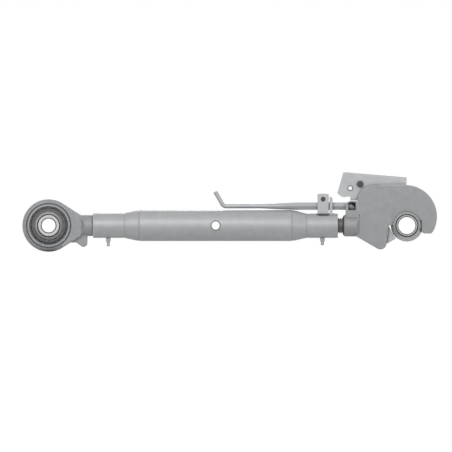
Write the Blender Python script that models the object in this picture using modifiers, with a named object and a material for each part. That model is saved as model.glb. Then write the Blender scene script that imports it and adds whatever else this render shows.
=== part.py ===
"""Tractor top link with a catch hook: a barrel with two threaded spindles,
a swivel ball end for the tractor and a self-locking hook for the implement.

Units are metres, +Z is up. The origin is the centre of the tractor-side ball,
+X runs along the barrel to the hook, and the pins lie along Y.
"""
import math

import bmesh
import bpy
from mathutils import Matrix, Vector

# Clearances and cutter lengths
GAP = 0.0003
OVERRUN = 0.004
FACE_STEP = 0.0005
MERGE = 0.00001

# Round pieces are divided by their size
FINE_STEPS = 48
ROUND_STEPS = 28
SMALL_STEPS = 14
WIRE_STEPS = 10

# The link, screwed in: reaches from the ball centres, the barrel, and the room left over
EYE_REACH = 0.0831
HOOK_REACH = 0.1174
TUBE_LENGTH = 0.4578
CLOSED_GAP = 0.0117
SPINDLE_TIP_GAP = 0.0578

# Swivel balls
BALL_RADIUS = 0.030
BALL_WIDTH = 0.051
TRACTOR_BORE_RADIUS = 0.0129
TRACTOR_BOSS_RADIUS = 0.02115
IMPLEMENT_BORE_RADIUS = 0.01595
IMPLEMENT_BOSS_RADIUS = 0.0205
BALL_CHAMFER = 0.0008

# Tractor-side forging
EYE_RADIUS = 0.049
EYE_WIDTH = 0.029
EYE_RIM_WIDTH = 0.019
EYE_FACE_RADIUS = 0.0422
RACE_SEAT_RADIUS = 0.034
RACE_SEAT_CHAMFER = 0.0017
RACE_WIDTH = 0.0252
RACE_SPLIT_WIDTH = 0.0007
RACE_SPLIT_ANGLE = math.radians(100)
FLANK_ANGLE = math.radians(32.4)
SHANK_RADIUS = 0.01975
SHANK_CHAMFER = 0.001
EYE_SCOOP_RADIUS = 0.0613
SCOOP_SLOPE = 1.12
NOSE_CENTRE_REACH = 0.0653
NOSE_DROP = 0.0326
NOSE_SHELF_DROP = 0.0318
NOSE_RADIUS = 0.0074
NOSE_WIDTH = 0.016
NOSE_SHELF_START = 0.0405
NOSE_SHELF_LENGTH = 0.0115

# Threaded spindles
SPINDLE_RADIUS = 0.015
SPINDLE_CHAMFER = 0.002

# Barrel
TUBE_RADIUS = 0.029
SLEEVE_RADIUS = 0.02315
SLEEVE_LENGTH = 0.0584
NECK_LENGTH = 0.0273
TUBE_WALL = 0.008
TUBE_CHAMFER = 0.001
TOMMY_RADIUS = 0.00765
TOMMY_OFFSET = 0.0003

# Grease nipples
LEFT_NIPPLE_PLACE = 0.0285
RIGHT_NIPPLE_PLACE = 0.0289
NIPPLE_STEM_RADIUS = 0.003
NIPPLE_HEX_WIDTH = 0.009
NIPPLE_HEX_HEIGHT = 0.006
NIPPLE_CONE_SHARE = 0.75
LEFT_NIPPLE_HEIGHT = 0.0159
RIGHT_NIPPLE_HEIGHT = 0.0140
NIPPLE_NECK_RADIUS = 0.0024
NIPPLE_HEAD_RADIUS = 0.0033

# Lock bar
BAR_HEIGHT = 0.0362
BAR_WIDTH = 0.0138
BAR_ROD_RADIUS = 0.004
BAR_HEX_LENGTH = 0.1156
BAR_TAPER_LENGTH = 0.0624
BAR_ROD_LENGTH = 0.0653
BAR_CHAMFER = 0.002
BAR_BEND_ANGLE = math.radians(60.5)
BAR_BEND_RADIUS = 0.009
BAR_TIP_LENGTH = 0.0262
BAR_BEVEL_ANGLE = math.radians(45)
BAR_BEVEL_LAND = 0.0015
BAR_GAP = 0.0005
BAR_END_GAP = 0.0016

# Bracket, its pin and the guide plate on the right sleeve
BRACKET_PLACE = 0.0381
BRACKET_LENGTH = 0.021
BRACKET_TOP = 0.0585
BRACKET_ARCH = 0.0013
BRACKET_SHEET = 0.004
BRACKET_PIN_RADIUS = 0.005
BRACKET_PIN_HEIGHT = 0.0492
BRACKET_PIN_CHAMFER = 0.0007
BRACKET_PIN_DIMPLE = 0.0018
BRACKET_PIN_STAND = 0.001
GUIDE_OFFSET = 0.0015
GUIDE_THICKNESS = 0.0056
GUIDE_TOP = 0.0537
GUIDE_CORNER = 0.004

# Catch hook, measured from the implement ball's centre
HOOK_WIDTH = 0.029
HOOK_SHANK_RADIUS = 0.0205
HOOK_SCOOP_RADIUS = 0.088
HEAD_RADIUS = 0.059
HEAD_CENTRE_BACK = 0.0028
HEAD_TOP = 0.0758
HEAD_END_ANGLE = math.radians(-26)
CREST_RADIUS = 0.031
CREST_REACH = 0.0928
WAIST_REACH = 0.0877
WAIST_HEIGHT = 0.0168
TIP_DROP = 0.0150
TIP_BACK = 0.0456
TIP_FRONT = 0.0325
TIP_CORNER_DROP = 0.0122
LIP_CLEARANCE = 0.001
LIP_END_ANGLE = math.radians(22)
MOUTH_BACK = 0.034
LEDGE_RISE = 0.0004
JAW_REACH = 0.0495
JAW_RADIUS = 0.0112
JAW_DROP = 0.0448
HEEL_REACH = 0.096
HEEL_DROP = 0.0197

# Locking bolt: it slides on a slanting axis through this point
BOLT_END_REACH = 0.0279
BOLT_END_DROP = 0.0286
BOLT_ANGLE = math.radians(60.7)
BOLT_BACK = 0.0116
BOLT_THICKNESS = 0.0134
BOLT_SHOULDER = 0.072
BOLT_EYE_PLACE = 0.1215
BOLT_EYE_RADIUS = 0.0085
BOLT_TONGUE_THICKNESS = 0.0068
BOLT_EYE_STEP = 0.0001
BOLT_SLOT_START = 0.024
BOLT_SLOT_WIDTH = 0.010
STOP_PIN_PLACE = 0.063
STOP_PIN_RADIUS = 0.004
STOP_PIN_SKIN = 0.003
SPRING_WIRE_RADIUS = 0.0006
SPRING_RADIUS = 0.0038
SPRING_TURNS = 6

# Slot in the head, for the lever
SLOT_FLOOR = 0.0455
SLOT_FRONT = 0.046

# Release lever, measured from the implement ball's centre
LEVER_SHEET = 0.003
LEVER_TIP_REACH = 0.1302
LEVER_TIP_HEIGHT = 0.0603
LEVER_TOP_REACH = 0.1189
LEVER_TOP_HEIGHT = 0.1002
LEVER_TOE_HEIGHT = 0.0903
LEVER_TOE_REACH = 0.0011
LEVER_NECK_REACH = 0.106
LEVER_FINGER_HEIGHT = 0.0529
LEVER_FINGER_REACH = 0.1171
LEVER_FINGER_RADIUS = 0.012
LEVER_FLOOR = 0.0472
LEVER_SLOT_REACH = 0.050
CORD_HOLE_REACH = 0.106
CORD_HOLE_HEIGHT = 0.0698
CORD_HOLE_RADIUS = 0.00355

# Link pin between lever and bolt, with its washer and retaining ring
LINK_PIN_RADIUS = 0.004
LINK_HEAD_RADIUS = 0.0062
LINK_HEAD_HEIGHT = 0.0025
LINK_GROOVE_DEPTH = 0.0006
LINK_END_LENGTH = 0.0016
LINK_DIMPLE_RADIUS = 0.0016
WASHER_THICKNESS = 0.0012
CLIP_THICKNESS = 0.0010
CLIP_RADIUS = 0.0058
CLIP_OPENING = 0.0042

# Lug on the hook's shank
LUG_WIDTH = 0.026
LUG_LEFT_TOP = 0.0411
LUG_TOP = 0.0464
LUG_SLOPE_LENGTH = 0.0092
LUG_WINDOW_START = 0.0050
LUG_WINDOW_BACK = 0.0024
LUG_BACK_REACH = 0.1148

# Worked out from the sizes above
BALL_HALF = BALL_WIDTH / 2
TUBE_END = EYE_REACH + TUBE_LENGTH
HOOK_SHANK_START = TUBE_END + CLOSED_GAP
CLOSED_LENGTH = HOOK_SHANK_START + HOOK_REACH
SPINDLE_LENGTH = (TUBE_LENGTH - SPINDLE_TIP_GAP) / 2
EYE_HALF = EYE_WIDTH / 2
HOOK_HALF = HOOK_WIDTH / 2
SLEEVE_BORE_RADIUS = SPINDLE_RADIUS + GAP
BAR_HALF = BAR_WIDTH / 2
BAR_CORNER = BAR_HALF / math.cos(math.pi / 6)
BAR_END = CLOSED_LENGTH - CREST_REACH - BAR_END_GAP
PIN_SEAT_RADIUS = STOP_PIN_RADIUS + GAP
BOLT_HALF = BOLT_THICKNESS / 2
TONGUE_HALF = BOLT_TONGUE_THICKNESS / 2
LEVER_HALF = BOLT_HALF
SLOT_HALF = LEVER_HALF + GAP
LEVER_INNER_HALF = LEVER_HALF - LEVER_SHEET
ORIGIN = Vector((0, 0, 0))
IMPLEMENT_CENTRE = Vector((CLOSED_LENGTH, 0, 0))
BOLT_AXIS = Vector((-math.cos(BOLT_ANGLE), 0, math.sin(BOLT_ANGLE)))
BOLT_SIDE = Vector((math.sin(BOLT_ANGLE), 0, math.cos(BOLT_ANGLE)))
BOLT_END = IMPLEMENT_CENTRE + Vector((-BOLT_END_REACH, 0, -BOLT_END_DROP))
BOLT_FRONT = (IMPLEMENT_CENTRE - BOLT_END).dot(BOLT_SIDE) - BALL_RADIUS - GAP
LINK_CENTRE = BOLT_END + BOLT_EYE_PLACE * BOLT_AXIS
STOP_PIN_CENTRE = BOLT_END + STOP_PIN_PLACE * BOLT_AXIS


# Scene

def clear_scene():
    for item in list(bpy.data.objects):
        bpy.data.objects.remove(item, do_unlink=True)


def new_collection(name):
    collection = bpy.data.collections.new(name)
    bpy.context.scene.collection.children.link(collection)
    return collection


clear_scene()
PARTS = new_collection("tractor_top_link")
CUTTERS = new_collection("cutters")


def material(name, colour, roughness, metallic):
    made = bpy.data.materials.new(name)
    made.use_nodes = True
    shader = made.node_tree.nodes["Principled BSDF"]
    shader.inputs["Base Color"].default_value = (*colour, 1)
    shader.inputs["Roughness"].default_value = roughness
    shader.inputs["Metallic"].default_value = metallic
    made.diffuse_color = (*colour, 1)
    return made


STEEL_GREY = (0.36, 0.37, 0.38)
DARK_STEEL = (0.12, 0.12, 0.13)
ZINC_SILVER = (0.52, 0.53, 0.54)
BRIGHT_STEEL = (0.64, 0.64, 0.64)
FORGED = material("forged_steel", STEEL_GREY, 0.55, 0.7)
BARREL = material("barrel_steel", ZINC_SILVER, 0.42, 0.8)
THREAD = material("thread_steel", STEEL_GREY, 0.35, 0.95)
BALL = material("hardened_ball", BRIGHT_STEEL, 0.18, 1.0)
RACE = material("race_steel", DARK_STEEL, 0.40, 0.9)
ZINC = material("zinc_plate", ZINC_SILVER, 0.35, 0.9)
SPRING = material("spring_steel", DARK_STEEL, 0.30, 1.0)


def place(item, collection):
    for owner in list(item.users_collection):
        owner.objects.unlink(item)
    collection.objects.link(item)
    return item


def as_part(item, name, finish):
    place(item, PARTS)
    item.name = name
    item.data.name = name
    item.data.materials.clear()
    item.data.materials.append(finish)
    item.data.shade_smooth()
    item.data.set_sharp_from_angle(angle=math.radians(35))
    return item


def as_cutter(item):
    place(item, CUTTERS)
    item.hide_render = True
    item.display_type = "WIRE"
    return item


def boolean(item, other, operation):
    step = item.modifiers.new(operation.lower(), "BOOLEAN")
    step.operation = operation
    step.solver = "EXACT"
    step.object = as_cutter(other)
    return item


def cut(item, other):
    return boolean(item, other, "DIFFERENCE")


def join(item, other):
    return boolean(item, other, "UNION")


def applied(item):
    """The object as its modifiers show it, in a mesh of its own."""
    bpy.context.view_layer.update()
    graph = bpy.context.evaluated_depsgraph_get()
    mesh = bpy.data.meshes.new_from_object(item.evaluated_get(graph))
    shape = bmesh.new()
    shape.from_mesh(mesh)
    bmesh.ops.remove_doubles(shape, verts=shape.verts, dist=MERGE)
    shape.to_mesh(mesh)
    shape.free()
    made = bpy.data.objects.new(item.name, mesh)
    PARTS.objects.link(made)
    made.matrix_world = item.matrix_world.copy()
    bpy.data.objects.remove(item, do_unlink=True)
    return made


# Basic shapes

def mesh_object(name, shape):
    mesh = bpy.data.meshes.new(name)
    shape.to_mesh(mesh)
    shape.free()
    made = bpy.data.objects.new(name, mesh)
    PARTS.objects.link(made)
    return made


def box(name, low, high):
    """A block between two corners."""
    shape = bmesh.new()
    bmesh.ops.create_cube(shape, size=1)
    size = [b - a for a, b in zip(low, high)]
    middle = [(a + b) / 2 for a, b in zip(low, high)]
    bmesh.ops.transform(shape, matrix=Matrix.Diagonal((*size, 1)), verts=shape.verts)
    bmesh.ops.translate(shape, vec=middle, verts=shape.verts)
    return mesh_object(name, shape)


def rod(name, start, end, radius, end_radius=None, steps=ROUND_STEPS):
    """A cylinder or cone between two points."""
    along = Vector(end) - Vector(start)
    shape = bmesh.new()
    far_radius = radius if end_radius is None else end_radius
    bmesh.ops.create_cone(shape, cap_ends=True, segments=steps,
                          radius1=radius, radius2=far_radius, depth=along.length)
    turn = along.to_track_quat("Z", "Y").to_matrix().to_4x4()
    bmesh.ops.transform(shape, matrix=turn, verts=shape.verts)
    bmesh.ops.translate(shape, vec=(Vector(start) + Vector(end)) / 2, verts=shape.verts)
    return mesh_object(name, shape)


AXIS_TURNS = {
    "X": Matrix.Rotation(math.radians(90), 4, "Y"),
    "Y": Matrix.Rotation(math.radians(-90), 4, "X"),
    "Z": Matrix.Identity(4),
}


def turned(name, profile, centre, axis, steps=ROUND_STEPS, closed=True):
    """A turned body: profile holds (radius, height), outer side top to bottom."""
    shape = bmesh.new()
    rail = [shape.verts.new((radius, 0, height)) for radius, height in profile]
    for first, second in zip(rail, rail[1:]):
        shape.edges.new((first, second))
    if closed:
        shape.edges.new((rail[-1], rail[0]))
    made = mesh_object(name, shape)
    made.matrix_world = Matrix.Translation(centre) @ AXIS_TURNS[axis]
    screw = made.modifiers.new("turn", "SCREW")
    screw.axis = "Z"
    screw.angle = math.tau
    screw.steps = steps
    screw.render_steps = steps
    screw.use_merge_vertices = True
    screw.merge_threshold = MERGE
    return applied(made)


def outline_solid(name, points, half_width, centre=ORIGIN):
    """A flat outline in X and Z, given a thickness along Y."""
    curve = bpy.data.curves.new(name, "CURVE")
    curve.dimensions = "2D"
    curve.fill_mode = "BOTH"
    curve.extrude = half_width
    path = curve.splines.new("POLY")
    path.points.add(len(points) - 1)
    for target, (across, up) in zip(path.points, points):
        target.co = (across, up, 0, 1)
    path.use_cyclic_u = True
    made = bpy.data.objects.new(name, curve)
    PARTS.objects.link(made)
    made.matrix_world = Matrix.Translation(centre) @ Matrix.Rotation(math.radians(90), 4, "X")
    return applied(made)


def wire(name, points, radius, detail=2, centre=ORIGIN):
    """A round wire through the points, with filled ends."""
    curve = bpy.data.curves.new(name, "CURVE")
    curve.dimensions = "3D"
    curve.bevel_depth = radius
    curve.bevel_resolution = detail
    curve.use_fill_caps = True
    path = curve.splines.new("POLY")
    path.points.add(len(points) - 1)
    for target, point in zip(path.points, points):
        target.co = (*point, 1)
    made = bpy.data.objects.new(name, curve)
    PARTS.objects.link(made)
    made.matrix_world = Matrix.Translation(centre)
    return applied(made)


def arc(centre, radius, start, end, steps):
    """Points of an arc, angles from +X towards the second axis."""
    turns = [start + (end - start) * index / steps for index in range(steps + 1)]
    return [(centre[0] + radius * math.cos(turn), centre[1] + radius * math.sin(turn))
            for turn in turns]


def shaft_profile(plain_end, free_end, radius, chamfer):
    """Half the section of a shaft that is chamfered at its free end only."""
    if free_end > plain_end:
        return [
            (0, free_end),
            (radius - chamfer, free_end),
            (radius, free_end - chamfer),
            (radius, plain_end),
            (0, plain_end),
        ]
    return [
        (0, plain_end),
        (radius, plain_end),
        (radius, free_end + chamfer),
        (radius - chamfer, free_end),
        (0, free_end),
    ]


# Swivel balls

def swivel_ball(name, centre, bore_radius, boss_radius):
    boss_height = math.sqrt(BALL_RADIUS ** 2 - boss_radius ** 2)
    start = math.asin(boss_height / BALL_RADIUS)
    zone = arc((0, 0), BALL_RADIUS, start, -start, SMALL_STEPS)
    top = BALL_HALF
    profile = [
        (bore_radius + BALL_CHAMFER, top),
        (boss_radius - BALL_CHAMFER, top),
        (boss_radius, top - BALL_CHAMFER),
        *zone,
        (boss_radius, BALL_CHAMFER - top),
        (boss_radius - BALL_CHAMFER, -top),
        (bore_radius + BALL_CHAMFER, -top),
        (bore_radius, BALL_CHAMFER - top),
        (bore_radius, top - BALL_CHAMFER),
    ]
    as_part(turned(name, profile, centre, "Y"), name, BALL)


# Tractor side

def eye_disk():
    rim = EYE_RIM_WIDTH / 2
    profile = [
        (0, EYE_HALF),
        (EYE_FACE_RADIUS - FACE_STEP, EYE_HALF),
        (EYE_FACE_RADIUS, EYE_HALF - FACE_STEP),
        (EYE_RADIUS, rim),
        (EYE_RADIUS, -rim),
        (EYE_FACE_RADIUS, FACE_STEP - EYE_HALF),
        (EYE_FACE_RADIUS - FACE_STEP, -EYE_HALF),
        (0, -EYE_HALF),
    ]
    return turned("ball_end", profile, ORIGIN, "Y", FINE_STEPS, closed=False)


def scooped_shank(name, start, end, radius, scoop_centre, scoop_radius, flat_half):
    """A round shank from its free end to inside the plate that carries it.

    Its sides are scooped down to the plate's flat faces.
    """
    profile = shaft_profile(end, start, radius, SHANK_CHAMFER)
    shank = turned(name, profile, ORIGIN, "X", FINE_STEPS, closed=False)
    inner = flat_half - FACE_STEP
    outer = radius + OVERRUN
    inner_radius = scoop_radius - SCOOP_SLOPE * FACE_STEP
    outer_radius = scoop_radius + SCOOP_SLOPE * (outer - flat_half)
    for side in (-1, 1):
        near = scoop_centre + Vector((0, side * inner, 0))
        far = scoop_centre + Vector((0, side * outer, 0))
        cut(shank, rod(name + "_scoop", near, far, inner_radius, outer_radius, FINE_STEPS))
    return shank


def flank_outline():
    tangent_across = EYE_RADIUS * math.sin(FLANK_ANGLE)
    tangent_up = EYE_RADIUS * math.cos(FLANK_ANGLE)
    meeting = tangent_across + (tangent_up - SHANK_RADIUS) / math.tan(FLANK_ANGLE)
    inside = math.sqrt(SHANK_RADIUS ** 2 - EYE_HALF ** 2)
    upper = [
        (tangent_across, tangent_up),
        (meeting, SHANK_RADIUS),
        (EYE_SCOOP_RADIUS + FACE_STEP, inside),
    ]
    lower = [(across, -up) for across, up in reversed(upper)]
    return [(0, 0), *upper, *lower]


def nose_outline():
    root = SHANK_RADIUS / 2
    shelf_end = NOSE_SHELF_START + NOSE_SHELF_LENGTH
    shelf = NOSE_SHELF_DROP
    lobe = arc((NOSE_CENTRE_REACH, -NOSE_DROP), NOSE_RADIUS,
               math.radians(-125), 0, SMALL_STEPS // 2)
    return [
        (NOSE_SHELF_START, -root),
        (NOSE_SHELF_START, -shelf),
        (shelf_end, -shelf),
        *lobe,
        (NOSE_CENTRE_REACH + NOSE_RADIUS, -root),
    ]


def race_seat_cutter():
    top = EYE_HALF + OVERRUN
    mouth = RACE_SEAT_RADIUS + RACE_SEAT_CHAMFER
    seat_top = EYE_HALF - RACE_SEAT_CHAMFER
    profile = [
        (0, top),
        (mouth, top),
        (mouth, EYE_HALF),
        (RACE_SEAT_RADIUS, seat_top),
        (RACE_SEAT_RADIUS, -seat_top),
        (mouth, -EYE_HALF),
        (mouth, -top),
        (0, -top),
    ]
    return turned("race_seat", profile, ORIGIN, "Y", FINE_STEPS, closed=False)


def ball_end():
    body = eye_disk()
    flat_half = EYE_HALF - FACE_STEP
    join(body, outline_solid("flanks", flank_outline(), flat_half))
    inside_eye = (RACE_SEAT_RADIUS + EYE_FACE_RADIUS) / 2
    join(body, scooped_shank("ball_end_shank", EYE_REACH - GAP, inside_eye, SHANK_RADIUS,
                             ORIGIN, EYE_SCOOP_RADIUS, flat_half))
    join(body, outline_solid("nose", nose_outline(), NOSE_WIDTH / 2))
    cut(body, race_seat_cutter())
    as_part(body, "ball_end", FORGED)


def ball_race():
    outer = RACE_SEAT_RADIUS - GAP
    inner = BALL_RADIUS + GAP
    half = RACE_WIDTH / 2
    edge = math.asin(half / inner)
    hollow = arc((0, 0), inner, -edge, edge, SMALL_STEPS)
    profile = [
        (outer - RACE_SEAT_CHAMFER / 2, half),
        (outer, half - RACE_SEAT_CHAMFER / 2),
        (outer, RACE_SEAT_CHAMFER / 2 - half),
        (outer - RACE_SEAT_CHAMFER / 2, -half),
        *hollow,
    ]
    ring = turned("ball_race", profile, ORIGIN, "Y", FINE_STEPS)
    half_split = RACE_SPLIT_WIDTH / 2
    split = box("race_split", (inner - OVERRUN, -half - OVERRUN, -half_split),
                (outer + OVERRUN, half + OVERRUN, half_split))
    split.rotation_euler = (0, -RACE_SPLIT_ANGLE, 0)
    as_part(cut(ring, split), "ball_race", RACE)


def spindle(name, root, tip):
    """An M30 spindle from its welded root to its chamfered tip."""
    profile = shaft_profile(root, tip, SPINDLE_RADIUS, SPINDLE_CHAMFER)
    as_part(turned(name, profile, ORIGIN, "X", closed=False), name, THREAD)


# Barrel and what sits on it

def tube():
    low_sleeve = EYE_REACH + SLEEVE_LENGTH
    high_sleeve = TUBE_END - SLEEVE_LENGTH
    bore = TUBE_RADIUS - TUBE_WALL
    profile = [
        (SLEEVE_BORE_RADIUS + TUBE_CHAMFER, TUBE_END),
        (SLEEVE_RADIUS - TUBE_CHAMFER, TUBE_END),
        (SLEEVE_RADIUS, TUBE_END - TUBE_CHAMFER),
        (SLEEVE_RADIUS, high_sleeve),
        (TUBE_RADIUS, high_sleeve - NECK_LENGTH),
        (TUBE_RADIUS, low_sleeve + NECK_LENGTH),
        (SLEEVE_RADIUS, low_sleeve),
        (SLEEVE_RADIUS, EYE_REACH + TUBE_CHAMFER),
        (SLEEVE_RADIUS - TUBE_CHAMFER, EYE_REACH),
        (SLEEVE_BORE_RADIUS + TUBE_CHAMFER, EYE_REACH),
        (SLEEVE_BORE_RADIUS, EYE_REACH + TUBE_CHAMFER),
        (SLEEVE_BORE_RADIUS, low_sleeve),
        (bore, low_sleeve + NECK_LENGTH),
        (bore, high_sleeve - NECK_LENGTH),
        (SLEEVE_BORE_RADIUS, high_sleeve),
        (SLEEVE_BORE_RADIUS, TUBE_END - TUBE_CHAMFER),
    ]
    barrel = turned("tube", profile, ORIGIN, "X", FINE_STEPS)
    tommy = EYE_REACH + TUBE_LENGTH / 2 + TOMMY_OFFSET
    reach = TUBE_RADIUS + OVERRUN
    cut(barrel, rod("tommy_hole", (tommy, -reach, 0), (tommy, reach, 0), TOMMY_RADIUS))
    for place_x in nipple_places():
        cut(barrel, rod("nipple_hole", (place_x, 0, -reach), (place_x, 0, 0),
                        NIPPLE_STEM_RADIUS + GAP, steps=SMALL_STEPS))
    as_part(barrel, "tube", BARREL)


def nipple_places():
    return EYE_REACH + LEFT_NIPPLE_PLACE, TUBE_END - RIGHT_NIPPLE_PLACE


def grease_nipple(name, place_x, height):
    seat = SLEEVE_RADIUS + GAP
    hex_end = seat + NIPPLE_HEX_HEIGHT
    tip = SLEEVE_RADIUS + height
    corner = NIPPLE_HEX_WIDTH / 2 / math.cos(math.pi / 6)
    neck_end = tip - NIPPLE_HEAD_RADIUS
    stem_end = SLEEVE_BORE_RADIUS + GAP
    profile = [
        (0, -stem_end),
        (NIPPLE_STEM_RADIUS, -stem_end),
        (NIPPLE_STEM_RADIUS, -seat - FACE_STEP),
        (corner * NIPPLE_CONE_SHARE, -hex_end + FACE_STEP),
        (NIPPLE_NECK_RADIUS, -(hex_end + neck_end) / 2),
        (NIPPLE_HEAD_RADIUS, -neck_end),
        (NIPPLE_NECK_RADIUS, -tip + FACE_STEP),
        (0, -tip),
    ]
    centre = Vector((place_x, 0, 0))
    nipple = turned(name, profile, centre, "Z", SMALL_STEPS, closed=False)
    join(nipple, rod(name + "_hex", (place_x, 0, -hex_end), (place_x, 0, -seat), corner, steps=6))
    as_part(nipple, name, ZINC)


def saddle(radius, start, end):
    """The round surface that a welded foot sits on."""
    return rod("saddle", (start, 0, 0), (end, 0, 0), radius + GAP, steps=FINE_STEPS)


def hexagonal(name, profile):
    """A six-sided turned body on the bar's axis, with flats above and below."""
    made = turned(name, profile, Vector((0, 0, BAR_HEIGHT)), "X", 6, closed=False)
    made.matrix_world = made.matrix_world @ Matrix.Rotation(math.pi / 6, 4, "Z")
    return made


def bar_hole(start, end):
    corner = BAR_CORNER + BAR_GAP
    return hexagonal("bar_hole", [(0, end), (corner, end), (corner, start), (0, start)])


def bracket_span():
    start = TUBE_END - BRACKET_PLACE
    return start, start + BRACKET_LENGTH


def lock_bracket():
    start, end = bracket_span()
    half_outer = BAR_CORNER + BAR_GAP + BRACKET_SHEET
    half_inner = BAR_CORNER + BAR_GAP
    arch_radius = (BRACKET_LENGTH ** 2 / 4 + BRACKET_ARCH ** 2) / (2 * BRACKET_ARCH)
    arch_angle = math.asin(BRACKET_LENGTH / 2 / arch_radius)
    arch_centre = ((start + end) / 2, BRACKET_TOP + BRACKET_ARCH - arch_radius)
    top = arc(arch_centre, arch_radius, math.pi / 2 - arch_angle, math.pi / 2 + arch_angle, 8)
    outline = [(start, 0), (end, 0), *top]
    clip = outline_solid("lock_bracket", outline, half_outer)
    floor = BAR_HEIGHT - BAR_HALF - BAR_GAP
    cut(clip, box("clip_channel", (start - OVERRUN, -half_inner, floor),
                  (end + OVERRUN, half_inner, BRACKET_TOP + OVERRUN)))
    cut(clip, saddle(SLEEVE_RADIUS, start - OVERRUN, end + OVERRUN))
    middle = (start + end) / 2
    reach = half_outer + OVERRUN
    cut(clip, rod("clip_pin_hole", (middle, -reach, BRACKET_PIN_HEIGHT),
                  (middle, reach, BRACKET_PIN_HEIGHT), BRACKET_PIN_RADIUS + GAP))
    as_part(clip, "lock_bracket", ZINC)


def bracket_pin():
    start, end = bracket_span()
    half = BAR_CORNER + BAR_GAP + BRACKET_SHEET + BRACKET_PIN_STAND
    dimple = BRACKET_PIN_DIMPLE
    flat = BRACKET_PIN_RADIUS - BRACKET_PIN_CHAMFER
    profile = [
        (0, half - dimple),
        (dimple, half),
        (flat, half),
        (BRACKET_PIN_RADIUS, half - BRACKET_PIN_CHAMFER),
        (BRACKET_PIN_RADIUS, BRACKET_PIN_CHAMFER - half),
        (flat, -half),
        (dimple, -half),
        (0, dimple - half),
    ]
    centre = Vector(((start + end) / 2, 0, BRACKET_PIN_HEIGHT))
    as_part(turned("bracket_pin", profile, centre, "Y", closed=False), "bracket_pin", SPRING)


def bar_guide():
    start = bracket_span()[1] + GUIDE_OFFSET
    end = start + GUIDE_THICKNESS
    half = BAR_CORNER + BAR_GAP + BRACKET_SHEET
    corner = arc((end - GUIDE_CORNER, GUIDE_TOP - GUIDE_CORNER), GUIDE_CORNER,
                 0, math.pi / 2, 6)
    plate = outline_solid("bar_guide", [(start, 0), (end, 0), *corner, (start, GUIDE_TOP)], half)
    cut(plate, bar_hole(start - OVERRUN, end + OVERRUN))
    cut(plate, saddle(SLEEVE_RADIUS, start - OVERRUN, end + OVERRUN))
    as_part(plate, "bar_guide", ZINC)


def lock_bar():
    hex_start = BAR_END - BAR_HEX_LENGTH
    taper_start = hex_start - BAR_TAPER_LENGTH
    rod_start = taper_start - BAR_ROD_LENGTH
    thin = BAR_ROD_RADIUS / math.cos(math.pi / 6) + FACE_STEP
    profile = [
        (0, BAR_END),
        (BAR_CORNER - BAR_CHAMFER, BAR_END),
        (BAR_CORNER, BAR_END - BAR_CHAMFER),
        (BAR_CORNER, hex_start),
        (thin, taper_start),
        (0, taper_start),
    ]
    body = hexagonal("lock_bar", profile)
    bend_centre = (rod_start, BAR_HEIGHT + BAR_BEND_RADIUS)
    bend = arc(bend_centre, BAR_BEND_RADIUS, -math.pi / 2, -math.pi / 2 - BAR_BEND_ANGLE, 8)
    last = Vector(bend[-1])
    heading = Vector((-math.cos(BAR_BEND_ANGLE), math.sin(BAR_BEND_ANGLE)))
    tip = last + BAR_TIP_LENGTH * heading
    path = [(taper_start + OVERRUN, BAR_HEIGHT), *bend, tuple(tip)]
    handle = wire("bar_handle", [(across, 0, up) for across, up in path], BAR_ROD_RADIUS, 4)
    join(body, handle)
    depth = BAR_CORNER + OVERRUN
    length = BAR_WIDTH + BAR_CORNER
    bevel = box("bar_bevel", (0, -depth, -length), (length, depth, length))
    bevel.rotation_euler = (0, -BAR_BEVEL_ANGLE, 0)
    bevel.location = (BAR_END, 0, BAR_HEIGHT - BAR_HALF + BAR_BEVEL_LAND)
    as_part(cut(body, bevel), "lock_bar", ZINC)


# Hook and what it carries

def hook_outline():
    """The head's side view, measured from the implement ball's centre."""
    lip_radius = math.sqrt(BALL_RADIUS ** 2 - HOOK_HALF ** 2)
    mouth_front = lip_radius + LIP_CLEARANCE
    inside = math.sqrt(HOOK_SHANK_RADIUS ** 2 - HOOK_HALF ** 2) - FACE_STEP
    root = HOOK_SCOOP_RADIUS + FACE_STEP
    crest = arc((CREST_RADIUS - CREST_REACH, HEAD_TOP - CREST_RADIUS), CREST_RADIUS,
                math.pi, math.pi / 2, SMALL_STEPS // 2)
    head = arc((-HEAD_CENTRE_BACK, HEAD_TOP - HEAD_RADIUS), HEAD_RADIUS,
               math.pi / 2, HEAD_END_ANGLE, ROUND_STEPS)
    lip = arc((0, 0), lip_radius, LIP_END_ANGLE, math.pi - LEDGE_RISE / lip_radius, SMALL_STEPS)
    jaw = arc((-JAW_REACH, JAW_RADIUS - JAW_DROP), JAW_RADIUS,
              0, math.radians(-115), SMALL_STEPS // 2)
    return [
        (-root, -inside),
        (-root, inside),
        (-WAIST_REACH, WAIST_HEIGHT),
        *crest,
        *head,
        (TIP_BACK, -TIP_DROP),
        (TIP_FRONT, -TIP_DROP),
        (mouth_front, -TIP_CORNER_DROP),
        (mouth_front, lip_radius * math.sin(LIP_END_ANGLE)),
        *lip,
        (-MOUTH_BACK, LEDGE_RISE),
        *jaw,
        (-HEEL_REACH, -HEEL_DROP),
    ]


def ball_way():
    """The round seat over the ball, with the way down out of the mouth."""
    radius = BALL_RADIUS + GAP
    bottom = -JAW_DROP - OVERRUN
    dome = arc((0, 0), radius, math.pi / 2, 0, ROUND_STEPS // 2)
    profile = [(0, radius), *dome[1:], (radius, bottom), (0, bottom)]
    return turned("ball_way", profile, IMPLEMENT_CENTRE, "Z", FINE_STEPS, closed=False)


def bolt_box(name, back, front, half, start, end):
    """A block along the bolt's axis, from back to front of that axis."""
    block = box(name, (-back, -half, start), (front, half, end))
    block.matrix_world = bolt_frame()
    return block


def bolt_frame():
    turn = Matrix((BOLT_SIDE, (0, 1, 0), BOLT_AXIS)).transposed().to_4x4()
    return Matrix.Translation(BOLT_END) @ turn


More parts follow.
